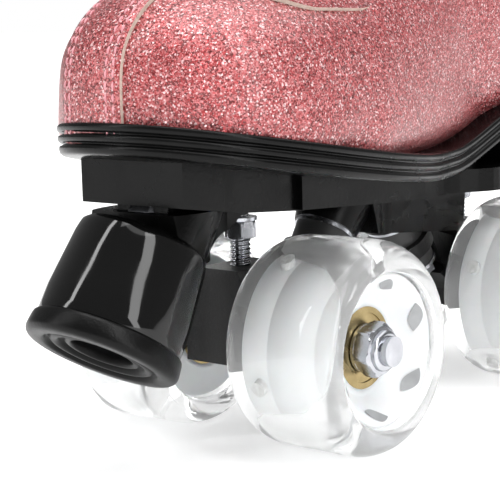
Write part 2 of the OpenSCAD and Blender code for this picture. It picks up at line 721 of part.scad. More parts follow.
at_rear() bearings();  // rear_left_bearings
at_rear() lights();  // rear_left_lights
at_rear() mirror([1, 0, 0]) tyre();  // rear_right_tyre
at_rear() mirror([1, 0, 0]) core();  // rear_right_core
at_rear() mirror([1, 0, 0]) bearings();  // rear_right_bearings
at_rear() mirror([1, 0, 0]) lights();  // rear_right_lights
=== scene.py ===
import math

import bmesh
import bpy
import numpy as np
from mathutils import Matrix, Vector
from mathutils.bvhtree import BVHTree


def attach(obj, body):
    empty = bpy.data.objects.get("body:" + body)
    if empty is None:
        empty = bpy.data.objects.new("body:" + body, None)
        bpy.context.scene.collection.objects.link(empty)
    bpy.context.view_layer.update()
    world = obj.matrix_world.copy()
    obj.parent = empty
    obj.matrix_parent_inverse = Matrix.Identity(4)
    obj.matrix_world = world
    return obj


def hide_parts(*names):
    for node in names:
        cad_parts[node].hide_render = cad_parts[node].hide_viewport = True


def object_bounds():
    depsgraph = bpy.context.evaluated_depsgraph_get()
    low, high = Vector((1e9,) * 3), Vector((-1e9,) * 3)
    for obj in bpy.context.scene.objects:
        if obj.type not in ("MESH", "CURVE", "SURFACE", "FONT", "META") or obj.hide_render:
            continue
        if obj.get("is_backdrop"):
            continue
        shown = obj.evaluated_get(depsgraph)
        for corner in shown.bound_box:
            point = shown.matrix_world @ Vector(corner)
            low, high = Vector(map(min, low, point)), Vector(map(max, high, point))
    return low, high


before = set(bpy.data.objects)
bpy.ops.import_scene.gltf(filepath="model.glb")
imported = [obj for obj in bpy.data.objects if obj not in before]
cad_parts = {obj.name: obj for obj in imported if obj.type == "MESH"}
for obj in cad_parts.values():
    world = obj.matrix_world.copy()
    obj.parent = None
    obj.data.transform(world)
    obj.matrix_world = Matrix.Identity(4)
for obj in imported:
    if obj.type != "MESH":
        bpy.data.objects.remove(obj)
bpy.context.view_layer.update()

# ---- Studio ----
# A pale floor under soft light from large panels, as in a light booth.
# The camera stands in front of the toe, to the skate's left.
bpy.context.scene.view_settings.view_transform = "Standard"
turn, dip, lean = math.radians(40.41), math.radians(8.33), math.radians(-1.5)
ahead = Vector((-math.sin(turn) * math.cos(dip), math.cos(turn) * math.cos(dip), -math.sin(dip)))
level = Vector((math.cos(turn), math.sin(turn), 0))
above = level.cross(ahead)
side = level * math.cos(lean) + above * math.sin(lean)
top = above * math.cos(lean) - level * math.sin(lean)
lens = bpy.data.cameras.new("booth_camera")
lens.lens = 111.5
lens.sensor_width = 36
lens.clip_start = 0.01
eye = bpy.data.objects.new("booth_camera", lens)
bpy.context.scene.collection.objects.link(eye)
eye.matrix_world = Matrix(((side.x, top.x, -ahead.x, 0.2776), (side.y, top.y, -ahead.y, -0.3749),
                           (side.z, top.z, -ahead.z, 0.1147), (0, 0, 0, 1)))
bpy.context.scene.camera = eye


def new_finish(name, colour, roughness, **sockets):
    """A material with its plain values set on the shader's own sockets."""
    finish = bpy.data.materials.new(name)
    finish.use_nodes = True
    tree = finish.node_tree
    shader = tree.nodes["Principled BSDF"]
    shader.inputs["Base Color"].default_value = (*colour, 1)
    shader.inputs["Roughness"].default_value = roughness
    for socket, value in sockets.items():
        shader.inputs[socket.replace("_", " ")].default_value = value
    return finish, tree, shader


def add_node(tree, kind, links=None, **settings):
    """A node with its settings, fed by sockets or plain values."""
    node = tree.nodes.new(kind)
    for key, value in settings.items():
        setattr(node, key, value)
    for socket, source in (links or {}).items():
        if isinstance(source, bpy.types.NodeSocket):
            tree.links.new(source, node.inputs[socket])
        else:
            node.inputs[socket].default_value = source
    return node


def link_mesh(name, points, faces, finishes=(), smooth=True):
    """A new piece from points and faces."""
    mesh = bpy.data.meshes.new(name)
    mesh.from_pydata([tuple(p) for p in points], [], [tuple(f) for f in faces])
    mesh.validate()
    for finish in finishes:
        mesh.materials.append(finish)
    if smooth:
        mesh.polygons.foreach_set("use_smooth", [True] * len(mesh.polygons))
    mesh.update()
    piece = bpy.data.objects.new(name, mesh)
    bpy.context.scene.collection.objects.link(piece)
    return piece


floor_paint, floor_tree, floor_shader = new_finish("floor_paint", (0.93, 0.93, 0.93), 0.6,
                                                   Emission_Strength=0.42)
floor_shader.inputs["Emission Color"].default_value = (1, 1, 1, 1)
floor_grain = add_node(floor_tree, "ShaderNodeTexNoise", {"Scale": 3.0, "Detail": 2.0})
floor_range = add_node(floor_tree, "ShaderNodeMapRange", {"Value": floor_grain.outputs["Fac"], "To Min": 0.58,
                                                          "To Max": 0.64})
floor_tree.links.new(floor_range.outputs["Result"], floor_shader.inputs["Roughness"])
floor = link_mesh("floor", [(-30, -30, 0), (30, -30, 0), (30, 30, 0), (-30, 30, 0)], [(0, 1, 2, 3)],
                  [floor_paint])
floor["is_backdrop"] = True


def add_panel(name, place, towards, size, power):
    """A soft rectangular light panel."""
    lamp = bpy.data.lights.new(name, "AREA")
    lamp.shape = "RECTANGLE"
    lamp.size, lamp.size_y = size
    lamp.energy = power
    panel = bpy.data.objects.new(name, lamp)
    bpy.context.scene.collection.objects.link(panel)
    panel.location = place
    panel.rotation_euler = (Vector(towards) - Vector(place)).to_track_quat("-Z", "Y").to_euler()


add_panel("overhead_panel", (0.1, -0.2, 1.3), (0, 0, 0.06), (0.7, 0.7), 5)
add_panel("left_strip", (-0.66, -1.0, 0.75), (0, -0.1, 0.05), (0.13, 1.7), 7)
add_panel("right_strip", (1.15, -0.33, 0.7), (0, -0.1, 0.05), (0.3, 1.7), 10)
sun = bpy.data.lights.new("ceiling_wash", "SUN")
sun.energy = 2.1
sun.angle = math.radians(75)
wash = bpy.data.objects.new("ceiling_wash", sun)
bpy.context.scene.collection.objects.link(wash)
wash.rotation_euler = (math.radians(-14), math.radians(10), 0)
sky = bpy.data.worlds.new("booth_walls")
bpy.context.scene.world = sky
sky.use_nodes = True
walls = sky.node_tree
bright = walls.nodes["Background"]
bright.inputs["Color"].default_value = (1, 1, 1, 1)
bright.inputs["Strength"].default_value = 1.0
dim = add_node(walls, "ShaderNodeBackground", {"Color": (1, 1, 1, 1), "Strength": 0.3})
path = add_node(walls, "ShaderNodeLightPath")
through = add_node(walls, "ShaderNodeMath", {0: path.outputs["Transmission Depth"], 1: 0.5},
                   operation="GREATER_THAN")
seen = add_node(walls, "ShaderNodeMath", {0: path.outputs["Is Camera Ray"], 1: through.outputs["Value"]},
                operation="MAXIMUM")
blend_walls = add_node(walls, "ShaderNodeMixShader", {0: seen.outputs["Value"], 1: dim.outputs["Background"],
                                                      2: bright.outputs["Background"]})
walls.links.new(blend_walls.outputs["Shader"], walls.nodes["World Output"].inputs["Surface"])

# ---- Boot form ----
# The boot is lasted leather, so its shape is one smooth form: a broad round
# toe, a high instep and a straight shaft. Pieces of leather lie on this form.
# Stations count from the front axle, which stands 50 mm before the middle.
AXLE_Y = -0.050
WHEELBASE = 0.104
WHEEL_R = 0.029
TOE_SWING = 7.0
CUFF, SHAFT_MID, TOP_TILT = 246.0, 121.0, math.radians(-7)
foot_balls = [
    [(6, -22, 102, 38, 38, 26), (5, -19, 88, 40, 41, 20), (1.5, 5, 100, 41, 34, 33)],
    [(1.5, 5, 100, 41, 34, 33), (1.5, 4, 84, 42, 34, 16), (0, 58, 118, 29, 44, 40), (0, 70, 92, 25, 40, 20)],
    [(0, 62, 122, 29, 42, 44), (0, 132, 122, 29.5, 40, 30), (0, 118, 160, 28, 41, 30), (0, 75, 94, 24, 40, 16),
     (0, 139, 100, 29.5, 32, 20)],
    [(0, 84, 140, 28, 42, 44), (0, 118, 160, 28, 41, 30), (0, 122, 205, 28, 37.5, 0.3),
     (0, SHAFT_MID, 288, 31, 37, 0.3)]]
form_mesh = bmesh.new()
for balls in foot_balls:
    corners = []
    for bx, by, bz, rx, ry, rz in balls:
        for i in range(1, 24):
            for j in range(48):
                a, b = math.pi * i / 24, math.tau * j / 48
                corners.append(form_mesh.verts.new(((bx + rx * math.sin(a) * math.cos(b)) / 1000,
                                                    (by + ry * math.sin(a) * math.sin(b)) / 1000 + AXLE_Y,
                                                    (bz + rz * math.cos(a)) / 1000)))
    wrapped = bmesh.ops.convex_hull(form_mesh, input=corners)
    spare = {e for e in wrapped["geom_interior"] + wrapped["geom_unused"] if isinstance(e, bmesh.types.BMVert)}
    bmesh.ops.delete(form_mesh, geom=list(spare), context="VERTS")
form_data = bpy.data.meshes.new("boot_form")
form_mesh.to_mesh(form_data)
form_mesh.free()
form_piece = bpy.data.objects.new("boot_form", form_data)
bpy.context.scene.collection.objects.link(form_piece)
form_grid = form_piece.modifiers.new("grid", "REMESH")
form_grid.mode = "VOXEL"
form_grid.voxel_size = 0.0022
form_soft = form_piece.modifiers.new("soften", "SMOOTH")
form_soft.factor = 0.6
form_soft.iterations = 14
form_shape = form_piece.evaluated_get(bpy.context.evaluated_depsgraph_get())
form_points = [v.co.copy() for v in form_shape.data.vertices]
form_faces = [tuple(p.vertices) for p in form_shape.data.polygons]
form_normals = [v.normal.copy() for v in form_shape.data.vertices]
form_tree = BVHTree.FromPolygons(form_points, form_faces)
bpy.data.objects.remove(form_piece)


def lay_on_form(origin, direction):
    """Where a line from inside meets the boot form, and the form's smooth normal there."""
    spot, flat, index, far = form_tree.ray_cast(Vector(origin), Vector(direction), 0.3)
    if spot is None:
        spot, flat, index, far = form_tree.find_nearest(Vector(origin))
    weights = [1 / ((form_points[i] - spot).length + 1e-6) for i in form_faces[index]]
    smooth = sum((form_normals[i] * w for i, w in zip(form_faces[index], weights)), Vector())
    return spot, smooth.normalized()


def bell(t, a, b):
    return 0.0 if t <= a else 1.0 if t >= b else (1 - math.cos(math.pi * (t - a) / (b - a))) / 2


def sole_top(y):
    """Height of the sole's top edge, in millimetres, at a station in millimetres."""
    return 77 + 15 * ((45 - y) / 107) ** 1.35 if y < 45 else 77 + 17.8 * bell(y, 58, 128)


def cuff_height(y, height):
    """Height of a plane that tilts down across the shaft."""
    return height + (y - SHAFT_MID) * math.tan(TOP_TILT)


# ---- Glitter leather ----
# Red synthetic leather under a clear skin full of small foil flakes. Each
# flake lies at its own angle, so the surface sparkles where light falls on it.
# In the base colour, the palest flake cells and the fine pale specks are partly
# the flakes' own colour and partly painted glints.
glitter, glitter_tree, glitter_shader = new_finish("glitter_leather", (0.40, 0.05, 0.055), 0.42,
                                                   Coat_Weight=0.5,
                                                   Coat_Roughness=0.28, Specular_IOR_Level=0.6)
flake_place = add_node(glitter_tree, "ShaderNodeTexCoord")
flakes = add_node(glitter_tree, "ShaderNodeTexVoronoi", {"Vector": flake_place.outputs["Object"],
                                                         "Scale": 2300.0})
glint_dots = add_node(glitter_tree, "ShaderNodeTexVoronoi", {"Vector": flake_place.outputs["Object"],
                                                         "Scale": 4100.0})
flake_values = add_node(glitter_tree, "ShaderNodeSeparateColor", {"Color": flakes.outputs["Color"]})
glint_dot_values = add_node(glitter_tree, "ShaderNodeSeparateColor", {"Color": glint_dots.outputs["Color"]})
cloud = add_node(glitter_tree, "ShaderNodeTexNoise", {"Vector": flake_place.outputs["Object"], "Scale": 28.0,
                                                      "Detail": 3.0})
# Flake colours at random per cell; the palest cells are partly painted glints.
flake_tone_glint_ramp = add_node(glitter_tree, "ShaderNodeValToRGB", {"Fac": flake_values.outputs["Red"]})
flake_tone_glint_ramp.color_ramp.interpolation = "CONSTANT"
for place, shade in ((0.0, (0.15, 0.010, 0.012)), (0.24, (0.34, 0.030, 0.034)), (0.50, (0.42, 0.075, 0.080)),
                     (0.70, (0.50, 0.13, 0.135)), (0.84, (0.74, 0.50, 0.505)), (0.93, (0.20, 0.03, 0.032))):
    mark = flake_tone_glint_ramp.color_ramp.elements.new(place) if place else flake_tone_glint_ramp.color_ramp.elements[0]
    mark.color = (*shade, 1)
flake_tone_glint_ramp.color_ramp.elements.remove(flake_tone_glint_ramp.color_ramp.elements[-1])
# Fine pale specks mixed into the base colour: painted glints.
painted_glint_mask = add_node(glitter_tree, "ShaderNodeMapRange", {"Value": glint_dot_values.outputs["Green"],
                                                           "From Min": 0.80,
                                                           "From Max": 0.86})
flake_and_glint_colour = add_node(glitter_tree, "ShaderNodeMix", data_type="RGBA")
glitter_tree.links.new(painted_glint_mask.outputs["Result"], flake_and_glint_colour.inputs[0])
glitter_tree.links.new(flake_tone_glint_ramp.outputs["Color"], flake_and_glint_colour.inputs[6])
# Colour of the painted glint specks.
flake_and_glint_colour.inputs[7].default_value = (0.60, 0.24, 0.245, 1)
glitter_tree.links.new(flake_and_glint_colour.outputs[2], glitter_shader.inputs["Base Color"])
flake_lean = add_node(glitter_tree, "ShaderNodeVectorMath", {0: flakes.outputs["Color"], 1: (0.5, 0.5, 0.5)},
                      operation="SUBTRACT")
flake_lean_scaled = add_node(glitter_tree, "ShaderNodeVectorMath",
                             {0: flake_lean.outputs["Vector"], "Scale": 0.75}, operation="SCALE")
leather_normal = add_node(glitter_tree, "ShaderNodeNewGeometry")
flake_sum = add_node(glitter_tree, "ShaderNodeVectorMath", {0: leather_normal.outputs["Normal"],
                                                            1: flake_lean_scaled.outputs["Vector"]},
                                                            operation="ADD")
flake_normal = add_node(glitter_tree, "ShaderNodeVectorMath", {0: flake_sum.outputs["Vector"]},
                        operation="NORMALIZE")
glitter_tree.links.new(flake_normal.outputs["Vector"], glitter_shader.inputs["Normal"])
flake_metal = add_node(glitter_tree, "ShaderNodeMapRange", {"Value": flake_values.outputs["Green"],
                                                            "From Min": 0.35,
                                                            "From Max": 0.9, "To Min": 0.1, "To Max": 0.85})
glitter_tree.links.new(flake_metal.outputs["Result"], glitter_shader.inputs["Metallic"])
leather_rough = add_node(glitter_tree, "ShaderNodeMapRange", {"Value": cloud.outputs["Fac"], "To Min": 0.32,
                                                              "To Max": 0.5})
glitter_tree.links.new(leather_rough.outputs["Result"], glitter_shader.inputs["Roughness"])


def build_surface_life():
    """Group for moulded and metal surfaces: fine grain, cloudy tone and handling smudges."""
    group = bpy.data.node_groups.new("surface_life", "ShaderNodeTree")
    for name, low in (("Grain Scale", 900.0), ("Grain Depth", 0.00002), ("Tone Scale", 60.0)):
        group.interface.new_socket(name, in_out="INPUT", socket_type="NodeSocketFloat").default_value = low
    group.interface.new_socket("Normal", in_out="OUTPUT", socket_type="NodeSocketVector")
    group.interface.new_socket("Tone", in_out="OUTPUT", socket_type="NodeSocketFloat")
    group.interface.new_socket("Smudge", in_out="OUTPUT", socket_type="NodeSocketFloat")
    inside, outside = group.nodes.new("NodeGroupInput"), group.nodes.new("NodeGroupOutput")
    place = add_node(group, "ShaderNodeTexCoord")
    grain = add_node(group, "ShaderNodeTexNoise", {"Vector": place.outputs["Object"],
                                                   "Scale": inside.outputs["Grain Scale"], "Detail": 4.0})
    bump = add_node(group, "ShaderNodeBump", {"Height": grain.outputs["Fac"],
                                              "Distance": inside.outputs["Grain Depth"]})
    tone = add_node(group, "ShaderNodeTexNoise", {"Vector": place.outputs["Object"],
                                                  "Scale": inside.outputs["Tone Scale"], "Detail": 4.0})
    smudge = add_node(group, "ShaderNodeTexNoise", {"Vector": place.outputs["Object"], "Scale": 35.0,
                                                    "Detail": 5.0, "Distortion": 1.2})
    smudge_range = add_node(group, "ShaderNodeMapRange", {"Value": smudge.outputs["Fac"], "From Min": 0.42,
                                                          "From Max": 0.72})
    group.links.new(bump.outputs["Normal"], outside.inputs["Normal"])
    group.links.new(tone.outputs["Fac"], outside.inputs["Tone"])
    group.links.new(smudge_range.outputs["Result"], outside.inputs["Smudge"])
    return group


surface_life = build_surface_life()


def give_life(tree, shader, dark, light, rough, grain_scale=900.0, grain_depth=0.00002, tone_scale=60.0):
    """Colour between two shades and roughness between two values, with fine grain."""
    life = add_node(tree, "ShaderNodeGroup", node_tree=surface_life)
    for socket, value in (("Grain Scale", grain_scale), ("Grain Depth", grain_depth),
                          ("Tone Scale", tone_scale)):
        life.inputs[socket].default_value = value
    shade = add_node(tree, "ShaderNodeMix", {0: life.outputs["Tone"]}, data_type="RGBA")
    shade.inputs[6].default_value, shade.inputs[7].default_value = (*dark, 1), (*light, 1)
    spread = add_node(tree, "ShaderNodeMapRange", {"Value": life.outputs["Smudge"], "To Min": rough[0],
                                                   "To Max": rough[1]})
    tree.links.new(shade.outputs[2], shader.inputs["Base Color"])
    tree.links.new(spread.outputs["Result"], shader.inputs["Roughness"])
    tree.links.new(life.outputs["Normal"], shader.inputs["Normal"])
    return life


raw_edge, raw_tree, raw_shader = new_finish("raw_leather_edge", (0.55, 0.45, 0.38), 0.85)
give_life(raw_tree, raw_shader, (0.36, 0.27, 0.22), (0.68, 0.58, 0.50), (0.75, 0.95), 2500.0, 0.0002, 700.0)
thread_finish, thread_tree, thread_shader = new_finish("sewing_thread", (0.70, 0.28, 0.32), 0.6,
                                                       Sheen_Weight=0.3)
give_life(thread_tree, thread_shader, (0.55, 0.16, 0.2), (0.85, 0.45, 0.48), (0.5, 0.7), 3000.0, 0.0001, 900.0)

# ---- Boot upper ----
# The vamp and quarters: glitter leather lasted over the form, open down the
# throat and cut along the cuff. Its lower edge goes down into the sole.
upper_mesh = bmesh.new()
upper_corners = [upper_mesh.verts.new(p) for p in form_points]
for face in form_faces:
    upper_mesh.faces.new([upper_corners[i] for i in face])


def cut_upper(mesh, point, normal):
    """Cuts the mesh along a plane and keeps both sides."""
    bmesh.ops.bisect_plane(mesh, geom=mesh.verts[:] + mesh.edges[:] + mesh.faces[:], plane_co=point,
                           plane_no=normal, dist=1e-6)


cut_upper(upper_mesh, (0, SHAFT_MID / 1000 + AXLE_Y, CUFF / 1000), (0, -math.sin(TOP_TILT), math.cos(TOP_TILT)))
cut_upper(upper_mesh, (0.0075, 0, 0), (1, 0, 0))
cut_upper(upper_mesh, (-0.0075, 0, 0), (1, 0, 0))
doomed = []
for face in upper_mesh.faces:
    middle = face.calc_center_median()
    station, height = (middle.y - AXLE_Y) * 1000, middle.z * 1000
    in_throat = abs(middle.x) < 0.0075 and station > 4 and height > 128 and station < 100
    if height < sole_top(station) - 3.5 or height > cuff_height(station, CUFF) or in_throat:
        doomed.append(face)
bmesh.ops.delete(upper_mesh, geom=doomed, context="FACES")
upper_mesh.normal_update()
upper_data = bpy.data.meshes.new("boot_upper_leather")
upper_mesh.to_mesh(upper_data)
upper_mesh.free()
upper_data.materials.append(glitter)
upper_data.materials.append(raw_edge)
upper_data.polygons.foreach_set("use_smooth", [True] * len(upper_data.polygons))
upper = bpy.data.objects.new("boot_upper_leather", upper_data)
bpy.context.scene.collection.objects.link(upper)
upper_wall = upper.modifiers.new("wall", "SOLIDIFY")
upper_wall.thickness = 0.0016
upper_wall.offset = -1
upper_wall.material_offset_rim = 1
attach(upper, "skate")
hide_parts("boot_upper")


def sew_patch(name, rows, lift, thickness, node=None, finish=glitter, closed=False):
    """A piece of leather with a raw cut edge, laid on the form. rows holds (point, normal) pairs."""
    high, wide = len(rows), len(rows[0])
    points, faces = [], []
    for layer in (0, 1):
        for i, row in enumerate(rows):
            for j, (spot, normal) in enumerate(row):
                points.append(spot + normal * (lift + thickness * layer) / 1000)
    size = high * wide
    for i in range(high - 1):
        for j in range(wide - (0 if closed else 1)):
            a, b, c, d = (i * wide + j, i * wide + (j + 1) % wide,
                          (i + 1) * wide + (j + 1) % wide, (i + 1) * wide + j)
            faces.append((a + size, b + size, c + size, d + size))
            faces.append((d, c, b, a))
    top_count = len(faces)
    rim = []
    if closed:
        rim += [(j, (j + 1) % wide) for j in range(wide)]
        rim += [((high - 1) * wide + (j + 1) % wide, (high - 1) * wide + j) for j in range(wide)]
    else:
        rim += [(j, j + 1) for j in range(wide - 1)]
        rim += [(i * wide + wide - 1, (i + 1) * wide + wide - 1) for i in range(high - 1)]
        rim += [((high - 1) * wide + j + 1, (high - 1) * wide + j) for j in range(wide - 1)]
        rim += [((i + 1) * wide, i * wide) for i in range(high - 1)]
    faces += [(a, b, b + size, a + size) for a, b in rim]
    piece = link_mesh(name, points, faces, [finish, raw_edge])
    for polygon in piece.data.polygons[top_count:]:
        polygon.material_index = 1
        polygon.use_smooth = False
    repair = bmesh.new()
    repair.from_mesh(piece.data)
    bmesh.ops.recalc_face_normals(repair, faces=repair.faces[:])
    repair.to_mesh(piece.data)
    repair.free()
    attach(piece, "skate")
    if node:
        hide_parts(node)
    return piece


def sew_line(name, line, lift, pitch=2.9, length=2.1, girth=0.34):
    """A row of lock stitches along a line of (point, normal) pairs."""
    spots = [spot + normal * lift / 1000 for spot, normal in line]
    far = np.concatenate([[0], np.cumsum([(b - a).length for a, b in zip(spots, spots[1:])])])
    points, faces = [], []
    count = int(far[-1] * 1000 / pitch)
    for k in range(count):
        ring_spots = []
        for part in (0.0, 0.18, 0.5, 0.82, 1.0):
            reach = (k * pitch + part * length) / 1000
            i = min(int(np.searchsorted(far, reach, side="right")) - 1, len(spots) - 2)
            share = (reach - far[i]) / max(far[i + 1] - far[i], 1e-9)
            ring_spots.append((spots[i].lerp(spots[i + 1], share), line[i][1], part))
        along = (ring_spots[-1][0] - ring_spots[0][0]).normalized()
        for spot, normal, part in ring_spots:
            across = along.cross(normal).normalized()
            fat = girth / 1000 * (0.35 + 0.65 * math.sin(math.pi * part) ** 0.5)
            rise = normal * (math.sin(math.pi * part) * 0.25 - 0.1) / 1000
            start = len(points)
            points += [spot + rise + (across * math.cos(math.tau * m / 6)
                                      + normal * math.sin(math.tau * m / 6)) * fat for m in range(6)]
            if part:
                faces += [(start - 6 + m, start - 6 + (m + 1) % 6, start + (m + 1) % 6,
                           start + m) for m in range(6)]
            else:
                faces.append(tuple(start + 5 - m for m in range(6)))
        faces.append(tuple(start + m for m in range(6)))
    stitches = link_mesh(name, points, faces, [thread_finish])
    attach(stitches, "skate")
    return stitches


# ---- Toe strip ----
# A strip of the same leather sewn over the middle of the toe, from the sole
# up to the throat, with raw cut sides and two rows of stitches along each.
def toe_row(across, rows=46):
    row = []
    for i in range(rows):
        rise = math.radians(-6 + 75 * i / (rows - 1))
        row.append(lay_on_form((across / 1000, AXLE_Y - 0.012, 0.091), (0, -math.cos(rise), math.sin(rise))))
    return row


strip_left, strip_right = -9.8, 12.4
strip_rows = [toe_row(strip_left + (strip_right - strip_left) * k / 14) for k in range(15)]
sew_patch("toe_strip_leather", strip_rows, 0.05, 1.15, "toe_strip")
for name, across in (("toe_stitch_a", strip_left + 2.0), ("toe_stitch_b", strip_left + 4.2),
                     ("toe_stitch_c", strip_right - 2.0), ("toe_stitch_d", strip_right - 4.2)):
    sew_line(name, toe_row(across, 90)[3:], 1.2)

# ---- Eyestay ----
# The facing that carries the eyelets: a leather U that crosses the vamp in
# front of the throat and goes up both sides of it, raw-edged and stitched.
FACING = [(-27, 119), (-12, 124), (2, 131), (14, 138), (28, 149), (42, 160), (55, 172), (65, 186), (72, 201),
          (77, 215), (80, 228), (82, 240)]


def facing_spot(share, across):
    """A point on the form beside the throat: share goes up the facing, across is X in millimetres."""
    reach = share * (len(FACING) - 1)
    i = min(int(reach), len(FACING) - 2)
    f = reach - i
    (y0, z0), (y1, z1) = FACING[i], FACING[i + 1]
    before, after = FACING[max(i - 1, 0)], FACING[min(i + 2, len(FACING) - 1)]
    lean = math.atan2((1 - f) * (z1 - before[1]) + f * (after[1] - z0),
                      (1 - f) * (y1 - before[0]) + f * (after[0] - y0))
    y, z = y0 + f * (y1 - y0), z0 + f * (z1 - z0)
    out = (-math.sin(lean), math.cos(lean))
    return lay_on_form((across / 1000, (y - out[0] * 24) / 1000 + AXLE_Y, (z - out[1] * 24) / 1000),
                       (0, out[0], out[1]))


for sign, hand in ((1, "left"), (-1, "right")):
    def flap_line(share_across, steps=64):
        row = []
        for i in range(steps):
            share = 0.004 + 0.991 * (i / (steps - 1)) ** 1.15
            inner = 8.5 if share > 0.29 else 0.0
            wide = 24.5 + 12 * bell(0.225 - share, 0.0, 0.05) - 5 * max(0.0, 1 - share / 0.07) ** 2
            row.append(facing_spot(share, sign * (inner + (wide - inner) * share_across)))
        return row
    sew_patch("eyestay_" + hand, [flap_line(k / 14) for k in range(15)], 0.05 if sign > 0 else 0.06, 1.15,
              "eyestay" if sign > 0 else None)
    sew_line("eyestay_stitch_a_" + hand, flap_line(0.88, 120)[2:-1], 1.2)
    sew_line("eyestay_stitch_b_" + hand, flap_line(0.80, 120)[2:-1], 1.2)
    sew_line("eyestay_stitch_c_" + hand, flap_line(0.1, 120)[38:-1], 1.2)

# ---- Heel counter and backstay ----
# A stiff leather cup glued and sewn round the heel, and a narrow strip that
# covers the seam up the back.
def shaft_spot(angle, height):
    """A point on the form at an angle round the shaft's axis; 0 is the back, 90 the left side."""
    turn_y = 0.118 if height > 150 else 0.112
    return lay_on_form((0, turn_y + AXLE_Y, height / 1000), (math.sin(angle), math.cos(angle), 0))


counter_rows = []
for k in range(16):
    row = []
    for i in range(49):
        angle = math.radians(-104 + 208 * i / 48)
        topline = 136 - 22 * (abs(angle) / math.radians(104)) ** 2
        foot = 86.0 + 4 * math.cos(angle)
        row.append(shaft_spot(angle, foot + (topline - foot) * k / 15))
    counter_rows.append(row)
sew_patch("heel_counter_leather", counter_rows, 0.05, 1.1, "heel_counter")
sew_line("counter_stitch_a", counter_rows[14], 1.2)
sew_line("counter_stitch_b", counter_rows[13], 1.2)
stay_rows = [[shaft_spot(math.radians(a), 130 + 107 * k / 40) for a in np.linspace(-15, 15,
        9)] for k in range(41)]
sew_patch("backstay_leather", stay_rows, 0.6, 1.1)
sew_line("backstay_stitch_left", [r[7] for r in stay_rows], 1.75)
sew_line("backstay_stitch_right", [r[1] for r in stay_rows], 1.75)

# ---- Collar ----
# A roll of soft leather over foam round the top of the shaft, open at the
# front where the tongue comes out.
collar_rings = []
for i in range(61):
    angle = math.radians(-149 + 298 * i / 60)
    spot, normal = shaft_spot(angle, 240)
    base = cuff_height((spot.y - AXLE_Y) * 1000, CUFF) / 1000
    ring = []
    for k in range(14):
        a = math.tau * k / 14
        ends = min(1.0, 0.55 + 0.45 * min(i, 60 - i) / 3)
        out, up = (-0.0012 + 0.0031 * math.cos(a)) , 0.0055 + 0.0072 * math.sin(a) * ends
        ring.append((Vector((spot.x, spot.y, base + up)) + Vector((normal.x, normal.y, 0)).normalized() * out))
    collar_rings.append(ring)
collar_points = [p for ring in collar_rings for p in ring]
collar_faces = [(i * 14 + k, i * 14 + (k + 1) % 14, (i + 1) * 14 + (k + 1) % 14,
                 (i + 1) * 14 + k) for i in range(60) for k in range(14)]
collar_faces += [tuple(range(13, -1, -1)), tuple(60 * 14 + k for k in range(14))]
collar = link_mesh("collar_roll", collar_points, collar_faces, [glitter])
collar_smooth = collar.modifiers.new("soften", "SUBSURF")
collar_smooth.levels = collar_smooth.render_levels = 1
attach(collar, "skate")
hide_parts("collar")

# ---- Lining and footbed ----
# Brushed knit glued to the inside of the leather, and a footbed with the same
# knit on top that lies loose on the sole.
knit, knit_tree, knit_shader = new_finish("brushed_knit", (0.86, 0.84, 0.82), 0.9, Sheen_Weight=0.4)
give_life(knit_tree, knit_shader, (0.74, 0.71, 0.69), (0.92, 0.90, 0.88), (0.85, 0.98), 1600.0, 0.0004, 500.0)
lining_mesh = bmesh.new()
lining_corners = [lining_mesh.verts.new(p - n * 0.0024) for p, n in zip(form_points, form_normals)]
for face in form_faces:
    lining_mesh.faces.new([lining_corners[i] for i in face])
cut_upper(lining_mesh, (0, SHAFT_MID / 1000 + AXLE_Y, (CUFF - 0.6) / 1000),
          (0, -math.sin(TOP_TILT), math.cos(TOP_TILT)))
for plane_x in (0.0135, -0.0135):
    cut_upper(lining_mesh, (plane_x, 0, 0), (1, 0, 0))
doomed = []
for face in lining_mesh.faces:
    middle = face.calc_center_median()
    station, height = (middle.y - AXLE_Y) * 1000, middle.z * 1000
    in_throat = abs(middle.x) < 0.0135 and 8 < station < 100 and height > 126
    if height < sole_top(station) + 1.0 or height > cuff_height(station, CUFF - 0.6) or in_throat:
        doomed.append(face)
bmesh.ops.delete(lining_mesh, geom=doomed, context="FACES")
lining_data = bpy.data.meshes.new("lining_knit")
lining_mesh.to_mesh(lining_data)
lining_mesh.free()
lining_data.materials.append(knit)
lining_data.polygons.foreach_set("use_smooth", [True] * len(lining_data.polygons))
lining = bpy.data.objects.new("lining_knit", lining_data)
bpy.context.scene.collection.objects.link(lining)
lining_wall = lining.modifiers.new("wall", "SOLIDIFY")
lining_wall.thickness = 0.001
lining_wall.offset = -1
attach(lining, "skate")
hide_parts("lining")

# ---- Tongue ----
# A leather tongue over foam, sewn in at the throat. It lies under the laces
# and stands up above the collar.
tongue_rows = []
for i in range(49):
    share = 0.22 + 0.78 * i / 48
    row = []
    for k in range(15):
        across = -17.5 + 35 * k / 14
        spot, normal = facing_spot(share, across * (0.8 if share < 0.3 else 1.0))
        row.append((spot - normal * 0.0042, normal))
    tongue_rows.append(row)
last_spot = tongue_rows[-1]
for step in range(1, 9):
    lift = 3.4 * step
    squeeze = 1 - 0.35 * max(0, step - 5) ** 2 / 9
    tongue_rows.append([(Vector((p.x * squeeze, p.y + 0.0004 * step - 0.0001 * step * step, p.z + lift / 1000)),
                         n) for p, n in last_spot])
tongue_points, tongue_faces = [], []
wide, high = 15, len(tongue_rows)
for layer in (0, 1):
    for i, row in enumerate(tongue_rows):
        for k, (spot, normal) in enumerate(row):
            edge = min(k, 14 - k, high - 1 - i, i + 1)
            swell = (0.5 + 1.5 * bell(edge, -0.5, 3.5)) / 1000
            tongue_points.append(spot + normal * (swell if layer else -swell * 0.7))
count = wide * high
for i in range(high - 1):
    for k in range(wide - 1):
        a, b, c, d = i * wide + k, i * wide + k + 1, (i + 1) * wide + k + 1, (i + 1) * wide + k
        tongue_faces += [(a + count, b + count, c + count, d + count), (d, c, b, a)]
